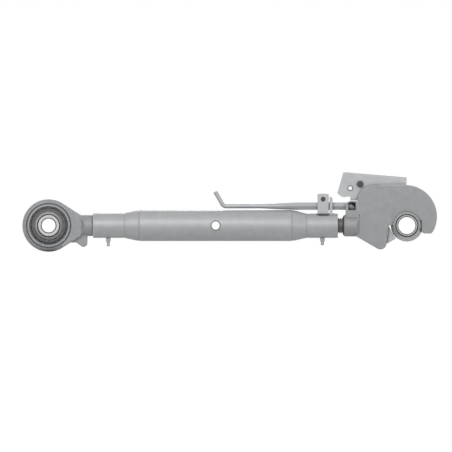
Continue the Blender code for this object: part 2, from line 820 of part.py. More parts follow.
def hook():
    flat_half = HOOK_HALF
    head = outline_solid("hook", hook_outline(), flat_half, IMPLEMENT_CENTRE)
    shank_end = CLOSED_LENGTH - HOOK_SCOOP_RADIUS + HOOK_HALF
    join(head, scooped_shank("hook_shank", HOOK_SHANK_START, shank_end, HOOK_SHANK_RADIUS,
                             IMPLEMENT_CENTRE, HOOK_SCOOP_RADIUS, flat_half))
    cut(head, ball_way())
    slot_start = CLOSED_LENGTH - LEVER_TIP_REACH
    cut(head, box("lever_slot", (slot_start, -SLOT_HALF, SLOT_FLOOR),
                  (CLOSED_LENGTH - SLOT_FRONT, SLOT_HALF, HEAD_TOP + OVERRUN)))
    channel_rise = SLOT_FLOOR + BOLT_END_DROP + BOLT_BACK * BOLT_SIDE.z
    channel_end = channel_rise / BOLT_AXIS.z + OVERRUN
    cut(head, bolt_box("bolt_channel", BOLT_BACK + GAP, BOLT_FRONT + GAP, SLOT_HALF,
                       -BOLT_BACK, channel_end))
    pin_start = STOP_PIN_CENTRE + Vector((0, STOP_PIN_SKIN - HOOK_HALF, 0))
    pin_end = STOP_PIN_CENTRE + Vector((0, HOOK_HALF + OVERRUN, 0))
    cut(head, rod("stop_pin_hole", pin_start, pin_end, PIN_SEAT_RADIUS, steps=SMALL_STEPS))
    as_part(head, "hook", FORGED)


def bar_lug():
    start = CLOSED_LENGTH - LUG_BACK_REACH
    foot_end = CLOSED_LENGTH - WAIST_REACH - FACE_STEP
    top_end = CLOSED_LENGTH - CREST_REACH - FACE_STEP
    outline = [
        (start, 0),
        (foot_end, 0),
        (foot_end, WAIST_HEIGHT),
        (top_end, HEAD_TOP - CREST_RADIUS),
        (top_end, LUG_TOP),
        (start + LUG_SLOPE_LENGTH, LUG_TOP),
        (start, LUG_LEFT_TOP),
    ]
    block = outline_solid("bar_lug", outline, LUG_WIDTH / 2)
    cut(block, saddle(HOOK_SHANK_RADIUS, start - OVERRUN, foot_end + OVERRUN))
    cut(block, bar_hole(start - OVERRUN, foot_end + OVERRUN))
    room = BAR_HALF + BAR_GAP
    cut(block, box("lug_window",
                   (start + LUG_WINDOW_START, -LUG_WIDTH, BAR_HEIGHT - room),
                   (top_end - LUG_WINDOW_BACK, 0, BAR_HEIGHT + room)))
    as_part(block, "bar_lug", FORGED)


def locking_bolt():
    body = bolt_box("locking_bolt", BOLT_BACK, BOLT_FRONT, BOLT_HALF, 0, BOLT_SHOULDER)
    tongue = bolt_box("bolt_tongue", BOLT_EYE_RADIUS, BOLT_FRONT - FACE_STEP, TONGUE_HALF,
                      BOLT_SHOULDER - OVERRUN, BOLT_EYE_PLACE)
    join(body, tongue)
    half = Vector((0, TONGUE_HALF - BOLT_EYE_STEP, 0))
    join(body, rod("bolt_eye", LINK_CENTRE - half, LINK_CENTRE + half, BOLT_EYE_RADIUS))
    reach = Vector((0, BOLT_HALF + OVERRUN, 0))
    cut(body, rod("bolt_eye_hole", LINK_CENTRE - reach, LINK_CENTRE + reach,
                  LINK_PIN_RADIUS + GAP))
    slot_half = BOLT_SLOT_WIDTH / 2
    slot_end = STOP_PIN_PLACE + STOP_PIN_RADIUS + GAP
    cut(body, bolt_box("spring_slot", slot_half, slot_half, BOLT_HALF + OVERRUN,
                       BOLT_SLOT_START, slot_end))
    as_part(body, "locking_bolt", ZINC)


def stop_pin():
    start = STOP_PIN_CENTRE + Vector((0, STOP_PIN_SKIN + GAP - HOOK_HALF, 0))
    end = STOP_PIN_CENTRE + Vector((0, HOOK_HALF - FACE_STEP, 0))
    as_part(rod("stop_pin", start, end, STOP_PIN_RADIUS, steps=SMALL_STEPS), "stop_pin", SPRING)


def bolt_spring():
    low = BOLT_SLOT_START + GAP + SPRING_WIRE_RADIUS
    high = STOP_PIN_PLACE - STOP_PIN_RADIUS - GAP - SPRING_WIRE_RADIUS
    count = SPRING_TURNS * WIRE_STEPS
    points = []
    for index in range(count + 1):
        share = index / count
        turn = math.tau * SPRING_TURNS * share
        points.append((SPRING_RADIUS * math.cos(turn), SPRING_RADIUS * math.sin(turn),
                       low + (high - low) * share))
    coil = wire("bolt_spring", points, SPRING_WIRE_RADIUS)
    coil.matrix_world = bolt_frame()
    as_part(coil, "bolt_spring", SPRING)


def lever_top(across):
    """Height of the lever's straight top edge, at a place left of the ball."""
    rise = (LEVER_TOP_HEIGHT - LEVER_TOE_HEIGHT) / LEVER_TOP_REACH
    return LEVER_TOE_HEIGHT - rise * across


def lever_outline():
    deck = HEAD_TOP + GAP
    finger_centre = (-LEVER_FINGER_REACH, LEVER_FINGER_HEIGHT + LEVER_FINGER_RADIUS)
    finger = arc(finger_centre, LEVER_FINGER_RADIUS, math.radians(-68), math.radians(-132), 6)
    return [
        (0, LEVER_TOE_HEIGHT),
        (-LEVER_TOP_REACH, LEVER_TOP_HEIGHT),
        (-LEVER_TIP_REACH, LEVER_TIP_HEIGHT),
        *reversed(finger),
        (-LEVER_NECK_REACH, finger[0][1]),
        (-LEVER_NECK_REACH, LEVER_FLOOR),
        (-LEVER_SLOT_REACH, LEVER_FLOOR),
        (-LEVER_SLOT_REACH, deck),
        (-LEVER_TOE_REACH, deck),
    ]


def release_lever():
    body = outline_solid("release_lever", lever_outline(), LEVER_HALF, IMPLEMENT_CENTRE)
    far = -LEVER_TIP_REACH - OVERRUN
    near = OVERRUN
    hollow = [
        (far, SLOT_FLOOR - OVERRUN),
        (near, SLOT_FLOOR - OVERRUN),
        (near, lever_top(near) - LEVER_SHEET),
        (far, lever_top(far) - LEVER_SHEET),
    ]
    cut(body, outline_solid("lever_hollow", hollow, LEVER_INNER_HALF, IMPLEMENT_CENTRE))
    reach = Vector((0, LEVER_HALF + OVERRUN, 0))
    cut(body, rod("lever_pin_hole", LINK_CENTRE - reach, LINK_CENTRE + reach,
                  LINK_PIN_RADIUS + GAP))
    cord = IMPLEMENT_CENTRE + Vector((-CORD_HOLE_REACH, 0, CORD_HOLE_HEIGHT))
    cut(body, rod("cord_hole", cord - reach, cord + reach, CORD_HOLE_RADIUS, steps=SMALL_STEPS))
    as_part(body, "release_lever", ZINC)


def link_stack():
    """Heights across the lever, from the pin's head to its far end."""
    head_face = -LEVER_HALF - GAP
    washer = LEVER_HALF + GAP
    clip = washer + WASHER_THICKNESS + GAP
    end = clip + CLIP_THICKNESS + GAP + LINK_END_LENGTH
    return head_face, washer, clip, end


def link_pin():
    head_face, washer, clip, end = link_stack()
    head = head_face - LINK_HEAD_HEIGHT
    groove = LINK_PIN_RADIUS - LINK_GROOVE_DEPTH
    profile = [
        (0, end),
        (LINK_PIN_RADIUS - FACE_STEP, end),
        (LINK_PIN_RADIUS, end - FACE_STEP),
        (LINK_PIN_RADIUS, clip + CLIP_THICKNESS + GAP),
        (groove, clip + CLIP_THICKNESS + GAP),
        (groove, clip - GAP),
        (LINK_PIN_RADIUS, clip - GAP),
        (LINK_PIN_RADIUS, head_face),
        (LINK_HEAD_RADIUS, head_face),
        (LINK_HEAD_RADIUS, head + FACE_STEP),
        (LINK_HEAD_RADIUS - FACE_STEP, head),
        (LINK_DIMPLE_RADIUS, head),
        (0, head + LINK_DIMPLE_RADIUS),
    ]
    as_part(turned("link_pin", profile, LINK_CENTRE, "Y", closed=False), "link_pin", SPRING)


def link_washer():
    washer = link_stack()[1]
    profile = [
        (LINK_HEAD_RADIUS, washer + WASHER_THICKNESS),
        (LINK_HEAD_RADIUS, washer),
        (LINK_PIN_RADIUS + GAP, washer),
        (LINK_PIN_RADIUS + GAP, washer + WASHER_THICKNESS),
    ]
    as_part(turned("link_washer", profile, LINK_CENTRE, "Y"), "link_washer", ZINC)


def link_clip():
    clip = link_stack()[2]
    inner = LINK_PIN_RADIUS - LINK_GROOVE_DEPTH + GAP
    profile = [
        (CLIP_RADIUS, clip + CLIP_THICKNESS),
        (CLIP_RADIUS, clip),
        (inner, clip),
        (inner, clip + CLIP_THICKNESS),
    ]
    ring = turned("link_clip", profile, LINK_CENTRE, "Y")
    mouth = box("clip_mouth", (-CLIP_OPENING / 2, clip - OVERRUN, -CLIP_RADIUS - OVERRUN),
                (CLIP_OPENING / 2, clip + CLIP_THICKNESS + OVERRUN, 0))
    mouth.location = LINK_CENTRE
    as_part(cut(ring, mouth), "link_clip", SPRING)


def build():
    ball_end()
    ball_race()
    swivel_ball("tractor_ball", ORIGIN, TRACTOR_BORE_RADIUS, TRACTOR_BOSS_RADIUS)
    spindle("left_spindle", EYE_REACH, EYE_REACH + SPINDLE_LENGTH)
    tube()
    left_nipple, right_nipple = nipple_places()
    grease_nipple("left_grease_nipple", left_nipple, LEFT_NIPPLE_HEIGHT)
    grease_nipple("right_grease_nipple", right_nipple, RIGHT_NIPPLE_HEIGHT)
    lock_bracket()
    bracket_pin()
    bar_guide()
    lock_bar()
    spindle("right_spindle", HOOK_SHANK_START - GAP, TUBE_END - SPINDLE_LENGTH)
    hook()
    bar_lug()
    swivel_ball("implement_ball", IMPLEMENT_CENTRE, IMPLEMENT_BORE_RADIUS,
                IMPLEMENT_BOSS_RADIUS)
    locking_bolt()
    stop_pin()
    bolt_spring()
    release_lever()
    link_pin()
    link_washer()
    link_clip()


build()
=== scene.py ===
# %% [markdown]
# # A tractor top link with a catch hook
# A top link joins a tractor to the implement behind it. Its barrel is turned by a bar through a
# cross hole, and two threaded spindles then run in or out. One spindle carries an eye with a
# swivel ball, the other a catch hook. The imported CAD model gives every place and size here, so
# the first step loads it and keeps its box, and nothing else is read.

# %% Load the frame
import math

import bmesh
import bpy
from mathutils import Matrix, Vector


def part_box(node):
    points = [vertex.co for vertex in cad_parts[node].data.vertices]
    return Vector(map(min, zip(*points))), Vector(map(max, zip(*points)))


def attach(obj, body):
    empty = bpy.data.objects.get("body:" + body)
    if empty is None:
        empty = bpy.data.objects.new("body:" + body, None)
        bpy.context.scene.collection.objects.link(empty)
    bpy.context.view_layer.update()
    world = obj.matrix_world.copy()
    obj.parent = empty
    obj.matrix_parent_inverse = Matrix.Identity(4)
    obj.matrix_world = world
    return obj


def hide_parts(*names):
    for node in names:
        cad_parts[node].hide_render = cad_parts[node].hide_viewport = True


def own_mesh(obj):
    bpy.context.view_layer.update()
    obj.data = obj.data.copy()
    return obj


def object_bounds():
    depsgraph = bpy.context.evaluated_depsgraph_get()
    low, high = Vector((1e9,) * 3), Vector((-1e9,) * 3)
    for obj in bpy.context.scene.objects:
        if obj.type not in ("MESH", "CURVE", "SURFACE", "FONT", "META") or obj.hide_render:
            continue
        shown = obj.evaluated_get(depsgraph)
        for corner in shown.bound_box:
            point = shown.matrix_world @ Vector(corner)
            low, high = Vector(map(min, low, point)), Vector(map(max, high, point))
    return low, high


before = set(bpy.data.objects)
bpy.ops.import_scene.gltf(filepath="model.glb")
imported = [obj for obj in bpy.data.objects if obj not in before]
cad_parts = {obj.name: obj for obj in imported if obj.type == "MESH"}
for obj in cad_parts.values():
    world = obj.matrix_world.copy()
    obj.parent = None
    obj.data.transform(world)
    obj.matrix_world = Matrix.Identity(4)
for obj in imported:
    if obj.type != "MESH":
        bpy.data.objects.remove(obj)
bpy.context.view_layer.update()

# %% [markdown]
# ## Sizes
# The visual pieces repeat the CAD model's main sizes, in metres. +X runs from the tractor ball to
# the hook, +Z is up, and the pins lie along Y.

# %% Sizes shared by the pieces
MERGE = 0.00001
STEP = 0.0003
OVERRUN = 0.004
PLAY = 0.0005
ORIGIN = Vector((0, 0, 0))
TUBE_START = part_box("tube")[0].x
TUBE_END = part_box("tube")[1].x
BALL_RADIUS = 0.030
BALL_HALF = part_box("tractor_ball")[1].y
BALL_EDGE = 0.0006
HOOK_CENTRE = Vector((0.670, 0, 0))
HOOK_SHANK = 0.0205
SLEEVE_RADIUS = 0.02315
BAR_HEIGHT = 0.0362
print("barrel runs from", round(TUBE_START, 4), "to", round(TUBE_END, 4))

# %% [markdown]
# ## Helpers for shapes
# Each piece starts as a bmesh. A lathe spins half a section, a plate extrudes a flat outline, and
# a rod or block is one of Blender's own shapes stretched into place. Sharp edges catch no light
# on a render and don't exist on real steel, so `soften` bevels every edge that is sharp enough.

# %% Make, evaluate and drop loose shapes
def linked(name, data):
    """An object in the scene that shows the data."""
    item = bpy.data.objects.new(name, data)
    bpy.context.scene.collection.objects.link(item)
    return item


def loose(name, shape):
    """An object that holds the shape. The shape itself goes."""
    mesh = bpy.data.meshes.new(name)
    shape.to_mesh(mesh)
    shape.free()
    return linked(name, mesh)


def drop(item):
    mesh = item.data
    bpy.data.objects.remove(item, do_unlink=True)
    bpy.data.meshes.remove(mesh)


def evaluated(item):
    """The shape as the item's modifiers leave it. The item goes."""
    bpy.context.view_layer.update()
    shape = bmesh.new()
    shape.from_object(item, bpy.context.evaluated_depsgraph_get())
    drop(item)
    bmesh.ops.remove_doubles(shape, verts=shape.verts, dist=MERGE)
    return shape


def combined(shape, others, operation="DIFFERENCE"):
    """The shape after an exact Boolean step with each of the others."""
    host = loose("host", shape)
    tools = [loose("tool", other) for other in others]
    for tool in tools:
        step = host.modifiers.new("step", "BOOLEAN")
        step.solver = "EXACT"
        step.operation = operation
        step.object = tool
    result = evaluated(host)
    for tool in tools:
        drop(tool)
    return result


print("Booleans run on objects in", bpy.context.scene.collection.name)

# %% Lathe, plate, rod and block
TURNS = {
    "X": Matrix.Rotation(math.radians(90), 4, "Y"),
    "Y": Matrix.Rotation(math.radians(-90), 4, "X"),
    "Z": Matrix.Identity(4),
}


def arc(centre, radius, start, end, steps):
    """Points of an arc, angles in degrees from +X towards the second axis."""
    turns = [math.radians(start + (end - start) * index / steps) for index in range(steps + 1)]
    return [(centre[0] + radius * math.cos(t), centre[1] + radius * math.sin(t)) for t in turns]


def outward(shape):
    """Turns every face of a closed shape outward."""
    bmesh.ops.recalc_face_normals(shape, faces=shape.faces)
    if shape.calc_volume(signed=True) < 0:
        bmesh.ops.reverse_faces(shape, faces=shape.faces)


def chain(points):
    """A new shape with the points joined in a row, and the row itself."""
    shape = bmesh.new()
    row = [shape.verts.new(point) for point in points]
    for pair in zip(row, row[1:]):
        shape.edges.new(pair)
    return shape, row


def lathe(profile, centre=ORIGIN, axis="X", steps=96, closed=False):
    """Spins half a section, given as (radius, place along the axis), right round."""
    shape, row = chain([(radius, 0, place) for radius, place in profile])
    if closed:
        shape.edges.new((row[-1], row[0]))
    bmesh.ops.spin(shape, geom=shape.verts[:] + shape.edges[:], cent=(0, 0, 0), axis=(0, 0, 1),
                   angle=math.tau, steps=steps, use_merge=True)
    bmesh.ops.remove_doubles(shape, verts=shape.verts, dist=MERGE)
    outward(shape)
    bmesh.ops.transform(shape, matrix=Matrix.Translation(centre) @ TURNS[axis], verts=shape.verts)
    return shape


def plate(outline, near, far, centre=ORIGIN):
    """A flat outline in X and Z, extruded from one place on Y to another."""
    shape = bmesh.new()
    face = shape.faces.new([shape.verts.new((x, near, z)) for x, z in outline])
    grown = bmesh.ops.extrude_face_region(shape, geom=[face], use_keep_orig=True)
    tops = [item for item in grown["geom"] if isinstance(item, bmesh.types.BMVert)]
    bmesh.ops.translate(shape, vec=(0, far - near, 0), verts=tops)
    outward(shape)
    bmesh.ops.translate(shape, vec=centre, verts=shape.verts)
    return shape


def turn_shape(shape, angle, axis, centre=ORIGIN):
    """Turns a shape by an angle in degrees."""
    bmesh.ops.rotate(shape, cent=centre, matrix=Matrix.Rotation(math.radians(angle), 3, axis),
                     verts=shape.verts)


def rod(start, end, radius, end_radius=None, steps=64):
    """A cylinder or cone between two points."""
    along = Vector(end) - Vector(start)
    shape = bmesh.new()
    bmesh.ops.create_cone(shape, cap_ends=True, segments=steps, radius1=radius,
                          radius2=radius if end_radius is None else end_radius,
                          depth=along.length)
    turn = along.to_track_quat("Z", "Y").to_matrix().to_4x4()
    middle = Matrix.Translation((Vector(start) + Vector(end)) / 2)
    bmesh.ops.transform(shape, matrix=middle @ turn, verts=shape.verts)
    return shape


def block(low, high):
    """A block between two corners."""
    shape = bmesh.new()
    bmesh.ops.create_cube(shape, size=1)
    size = Vector(high) - Vector(low)
    bmesh.ops.scale(shape, vec=size, verts=shape.verts)
    bmesh.ops.translate(shape, vec=(Vector(low) + Vector(high)) / 2, verts=shape.verts)
    return shape


def along_x(start, end, radius, height=0, steps=128):
    """A cylinder along X."""
    return rod((start, 0, height), (end, 0, height), radius, steps=steps)


def across_pin(centre, radius, steps=64):
    """A cylinder along Y, long enough to cut both cheeks of the lever."""
    reach = Vector((0, 0.012, 0))
    return rod(centre - reach, centre + reach, radius, steps=steps)


def soften(shape, width, segments=3, least=30, only=None):
    """Bevels the edges whose faces meet at more than the least angle, in degrees."""
    bmesh.ops.dissolve_limit(shape, angle_limit=math.radians(0.1), verts=shape.verts,
                             edges=shape.edges)
    sharp = [edge for edge in shape.edges if edge.is_manifold
             and edge.calc_face_angle() > math.radians(least) and (only is None or only(edge))]
    bmesh.ops.bevel(shape, geom=sharp, offset=width, offset_type="OFFSET", segments=segments,
                    profile=0.5, affect="EDGES", clamp_overlap=True, material=-1)
    return shape


print("a test plate has", len(plate([(0, 0), (1, 0), (1, 1)], 0, 1).faces), "faces")

# %% [markdown]
# ## Forged skins
# The eye and the hook are drop forgings: their edges are round, their corners run out into soft
# fillets, and only the seats are machined sharp afterwards. A bevel gives an even round edge, but
# no fillet where two bodies meet. A voxel remesh with a few smoothing passes gives both, so the
# rough body is skinned first, and the machined seats are cut into the skin afterwards.

# %% Forged skin helper
SKIN_VOXEL = 0.00075
SKIN_PASSES = 5


def forged_skin(shape, passes):
    """An even, smoothed skin over a rough body."""
    host = loose("host", shape)
    remesh = host.modifiers.new("skin", "REMESH")
    remesh.mode = "VOXEL"
    remesh.voxel_size = SKIN_VOXEL
    shape = evaluated(host)
    for _ in range(passes):
        bmesh.ops.smooth_vert(shape, verts=shape.verts, factor=0.5, use_axis_x=True,
                              use_axis_y=True, use_axis_z=True)
    return shape


print("forged skins have a grid of", SKIN_VOXEL * 1000, "mm")

# %% [markdown]
# ## Node helpers
# Materials are built from the same few nodes, so helpers keep their cells short: one adds a node
# and fills or links its sockets by name, one does arithmetic, one mixes colours, and one measures
# how far a point is from an axis.

# %% Node helpers
def feed(tree, socket, value):
    """Links a socket into an input, or sets the input to a plain value."""
    if isinstance(value, bpy.types.NodeSocket):
        tree.links.new(value, socket)
    else:
        socket.default_value = value


def add_node(tree, kind, settings=None, **values):
    """A shader node with its settings, and its input sockets filled or linked by name."""
    made = tree.nodes.new("ShaderNode" + kind)
    for key, value in (settings or {}).items():
        setattr(made, key, value)
    for key, value in values.items():
        feed(tree, made.inputs[key.replace("_", " ")], value)
    return made


def maths(tree, operation, *operands, clamp=False):
    """The output of a Math node. Each operand is a number or a socket."""
    made = add_node(tree, "Math", {"operation": operation, "use_clamp": clamp})
    for socket, value in zip(made.inputs, operands):
        feed(tree, socket, value)
    return made.outputs[0]


def off_axis(tree, first, second):
    """How far a point is from an axis, from its places on the two other axes."""
    square = maths(tree, "MULTIPLY", first, first)
    return maths(tree, "SQRT", maths(tree, "MULTIPLY_ADD", second, second, square))


def mixed_shader(tree, share, first, second):
    """The output of a Mix Shader node."""
    made = tree.nodes.new("ShaderNodeMixShader")
    for socket, value in zip(made.inputs, (share, first.outputs[0], second.outputs[0])):
        tree.links.new(value, socket)
    return made.outputs[0]


def backdrop_seen(tree):
    """One for the camera, glossy and transmission rays, which see the backdrop as it is."""
    rays = tree.nodes.new("ShaderNodeLightPath").outputs
    seen = maths(tree, "MAXIMUM", rays["Is Camera Ray"], rays["Is Glossy Ray"])
    return maths(tree, "MAXIMUM", seen, rays["Is Transmission Ray"])


def mixed(tree, share, first, second):
    """The colour between two others, by a share from 0 to 1."""
    made = add_node(tree, "Mix", {"data_type": "RGBA"})
    by_name = {item.identifier: item for item in made.inputs}
    feed(tree, by_name["Factor_Float"], share)
    for name, value in (("A_Color", first), ("B_Color", second)):
        feed(tree, by_name[name], (*value, 1) if isinstance(value, tuple) else value)
    return next(item for item in made.outputs if item.identifier == "Result_Color")


def new_group(name, inputs, outputs, build):
    """A node group with named sockets. The build function gives the values of its outputs."""
    group = bpy.data.node_groups.new(name, "ShaderNodeTree")
    for way, labels in (("INPUT", inputs), ("OUTPUT", outputs)):
        for label in labels:
            kind = "NodeSocketVector" if label == "Vector" else "NodeSocketFloat"
            group.interface.new_socket(label, in_out=way, socket_type=kind)
    made = build(group, group.nodes.new("NodeGroupInput").outputs)
    for socket, value in zip(group.nodes.new("NodeGroupOutput").inputs, made):
        group.links.new(value, socket)
    print("group", name, "with", len(group.nodes), "nodes")
    return group


print("node helpers ready")

# %% [markdown]
# ## Steel grain
# No steel surface is one flat colour. A forging has pits and scale a millimetre across, sheet
# and bar have a finer drawn grain, and plating is mottled in patches as large as a thumb. One
# group makes all three from noise of a given size: `Patches` is the slow change of tone, `Fine`
# the speckle, and `Height` the relief for a bump.

# %% Grain group
def steel_grain(group, given):
    vector = given["Vector"]
    scale = maths(group, "DIVIDE", 1.0, given["Size"])
    slow = add_node(group, "TexNoise", Vector=vector, Detail=3.0, Roughness=0.55,
                    Scale=maths(group, "DIVIDE", scale, 9.0))
    fast = add_node(group, "TexNoise", Vector=vector, Detail=5.0, Roughness=0.6, Scale=scale)
    pits = add_node(group, "TexVoronoi", {"feature": "SMOOTH_F1"}, Vector=vector,
                    Scale=maths(group, "MULTIPLY", scale, 0.7))
    relief = maths(group, "ADD", maths(group, "MULTIPLY", fast.outputs[0], 0.6),
                   maths(group, "MULTIPLY", pits.outputs[0], 0.4))
    return slow.outputs[0], fast.outputs[0], relief


GRAIN = new_group("steel_grain", ("Vector", "Size"), ("Patches", "Fine", "Height"),
                  steel_grain)

# %% [markdown]
# ## Edge wear
# Handling polishes the outer edges first. The Bevel node gives the normal that a rounded edge
# would have. Where it leans away from the true normal there is an edge, and noise breaks the
# line up, so that the wear comes and goes along it.

# %% Edge wear group
def edge_wear(group, given):
    rounded = add_node(group, "Bevel", {"samples": 4}, Radius=given["Radius"])
    true = group.nodes.new("ShaderNodeNewGeometry")
    lean = add_node(group, "VectorMath", {"operation": "DOT_PRODUCT"})
    group.links.new(rounded.outputs[0], lean.inputs[0])
    group.links.new(true.outputs["Normal"], lean.inputs[1])
    edge = maths(group, "MULTIPLY", maths(group, "SUBTRACT", 1.0, lean.outputs["Value"]), 7.0)
    noise = add_node(group, "TexNoise", Vector=given["Vector"], Scale=160.0, Detail=4.0)
    broken = maths(group, "MULTIPLY", edge, maths(group, "ADD", noise.outputs[0], 0.25))
    return [maths(group, "MULTIPLY", broken, given["Amount"], clamp=True)]


WEAR = new_group("edge_wear", ("Vector", "Radius", "Amount"), ("Wear",), edge_wear)

# %% [markdown]
# ## Painted shade and dirt in the corners
# Grease and dust settle where a finger can't wipe: along joints, in holes and under the bar.
# Ambient occlusion measures how shut in a point is, and the colour is darkened there: painted
# shade in the corners, broken up by noise as dirt. The same dark line along each joint is what a
# drawing shows as its outline, so this group also makes the pieces read apart from one another.

# %% Painted shade and dirt group
def corner_shade_and_dirt(group, given):
    # Painted shade: the colour darkens where ambient occlusion finds the point shut in, and noise
    # breaks it up as dirt.
    shut = add_node(group, "AmbientOcclusion", {"samples": 6}, Distance=given["Reach"])
    closed = maths(group, "SUBTRACT", 1.0, shut.outputs["AO"])
    noise = add_node(group, "TexNoise", Vector=given["Vector"], Scale=95.0, Detail=3.0)
    patchy = maths(group, "MULTIPLY", maths(group, "POWER", closed, 1.6),
                   maths(group, "ADD", noise.outputs[0], 0.5))
    return [maths(group, "MULTIPLY", patchy, given["Amount"], clamp=True)]


SHADE_AND_DIRT = new_group("corner_shade_and_dirt", ("Vector", "Reach", "Amount"), ("Shade_and_dirt",), corner_shade_and_dirt)

# %% [markdown]
# ## Tool marks
# A turned surface keeps the fine rings of the lathe tool. Noise that reads only one number, the
# place along the axis or the distance from it, gives rings of uneven depth.

# %% Tool mark group
def tool_marks(group, given):
    place = maths(group, "DIVIDE", given["Place"], given["Pitch"])
    return [add_node(group, "TexNoise", {"noise_dimensions": "1D"}, W=place, Scale=1.0,
                     Detail=3.0, Roughness=0.65).outputs[0]]


MARKS = new_group("tool_marks", ("Place", "Pitch"), ("Rings",), tool_marks)

# %% [markdown]
# ## Ring bands
# Hardening leaves a dark band round the edges of a bore or boss, and grease stains the rim of a
# hole. This group marks the band between two distances from a pin's axis, along Y. Its edge is
# wavy, so that it doesn't look printed.

# %% Ring band group
def ring_band(group, given):
    split = add_node(group, "SeparateXYZ", Vector=given["Vector"]).outputs
    noise = add_node(group, "TexNoise", Vector=given["Vector"], Scale=240.0, Detail=2.0)
    wavy = maths(group, "MULTIPLY_ADD", noise.outputs[0], 0.0005, -0.00025)
    away = maths(group, "ADD", off_axis(group, split["X"], split["Z"]), wavy)
    above = maths(group, "SUBTRACT", away, given["Inner"])
    below = maths(group, "SUBTRACT", given["Outer"], away)
    above = maths(group, "MULTIPLY", above, 5000.0, clamp=True)
    below = maths(group, "MULTIPLY", below, 5000.0, clamp=True)
    return [maths(group, "MULTIPLY", above, below)]


BAND = new_group("ring_band", ("Vector", "Inner", "Outer"), ("Band",), ring_band)

# %% [markdown]
# ## Finishes
# The reference is a line drawing without colours, so the finishes are those of a plain, zinc
# plated link: grey forgings, a brighter barrel, polished balls and dark pins. One function builds
# each material from the groups above. Every plain number stays on the shader.

# %% Steel material
WORN_STEEL = (0.66, 0.66, 0.65)
# How dark the painted shade and dirt in the corners goes, as a share of the shade colour.
SHADE_AND_DIRT_SHARE = 0.16


def grouped(tree, group, **values):
    """The outputs of a group node whose inputs are filled or linked by name."""
    return add_node(tree, "Group", {"node_tree": group}, **values).outputs


def place_on(tree, vector, marks):
    """The number that tool marks follow: along an axis, or out from the pin's axis."""
    split = add_node(tree, "SeparateXYZ", Vector=vector).outputs
    return off_axis(tree, split["X"], split["Z"]) if marks == "out" else split[marks]


def steel(name, base, shade, rough, metal, grain, relief, marks=None, centre=ORIGIN,
          pitch=0.0006, wear=1.0, radius=0.0009, shade_and_dirt=1.0, spread=0.16, bands=(), stain=1.0):
    """A steel finish: patchy tone, worn edges, painted shade and dirt in corners, tool marks,
    relief.
    """
    made = bpy.data.materials.new(name)
    made.use_nodes = True
    tree = made.node_tree
    shader = tree.nodes["Principled BSDF"]
    shader.inputs["Metallic"].default_value = metal
    shader.inputs["Specular IOR Level"].default_value = 0.35
    where = tree.nodes.new("ShaderNodeTexCoord").outputs["Object"]
    moved = add_node(tree, "Mapping", Vector=where, Location=tuple(-centre)).outputs[0]
    grains = grouped(tree, GRAIN, Vector=where, Size=grain)
    worn_at = grouped(tree, WEAR, Vector=where, Radius=radius, Amount=wear)[0]
    # Mask of painted shade in the corners, with dirt, from ambient occlusion.
    shade_and_dirt_at = grouped(tree, SHADE_AND_DIRT, Vector=where, Reach=0.007, Amount=shade_and_dirt)[0]
    for inner, outer in bands:
        band = grouped(tree, BAND, Vector=moved, Inner=inner, Outer=outer)[0]
        shade_and_dirt_at = maths(tree, "MAXIMUM", shade_and_dirt_at, maths(tree, "MULTIPLY", band, stain))
    tone = maths(tree, "MULTIPLY_ADD", grains["Patches"], 1.9, -0.45)
    speckled = maths(tree, "MULTIPLY", grains["Fine"], tone, clamp=True)
    colour = mixed(tree, speckled, base, shade)
    colour = mixed(tree, worn_at, colour, WORN_STEEL)
    # Painted shade and dirt in the corners, and the ring bands, darken the colour towards the shade
    # colour.
    colour = mixed(tree, shade_and_dirt_at, colour, tuple(channel * SHADE_AND_DIRT_SHARE for channel in shade))
    tree.links.new(colour, shader.inputs["Base Color"])
    rougher = maths(tree, "MULTIPLY", grains["Fine"], spread)
    roughness = maths(tree, "ADD", rougher, rough - spread / 2)
    roughness = maths(tree, "SUBTRACT", roughness, maths(tree, "MULTIPLY", worn_at, 0.12))
    roughness = maths(tree, "ADD", roughness, maths(tree, "MULTIPLY", shade_and_dirt_at, 0.3), clamp=True)
    tree.links.new(roughness, shader.inputs["Roughness"])
    height = grains["Height"]
    if marks:
        rings = grouped(tree, MARKS, Place=place_on(tree, moved, marks), Pitch=pitch)
        height = maths(tree, "ADD", maths(tree, "MULTIPLY", height, 0.35), rings[0])
    bump = add_node(tree, "Bump", Strength=0.55, Distance=relief, Height=height)
    tree.links.new(bump.outputs[0], shader.inputs["Normal"])
    return made


print("a steel finish takes its grain size and relief in metres")

# %% [markdown]
# The colours stay near those that the record names for each slot. The slots group the finishes,
# so that another scene can repaint all the plated pieces at once.

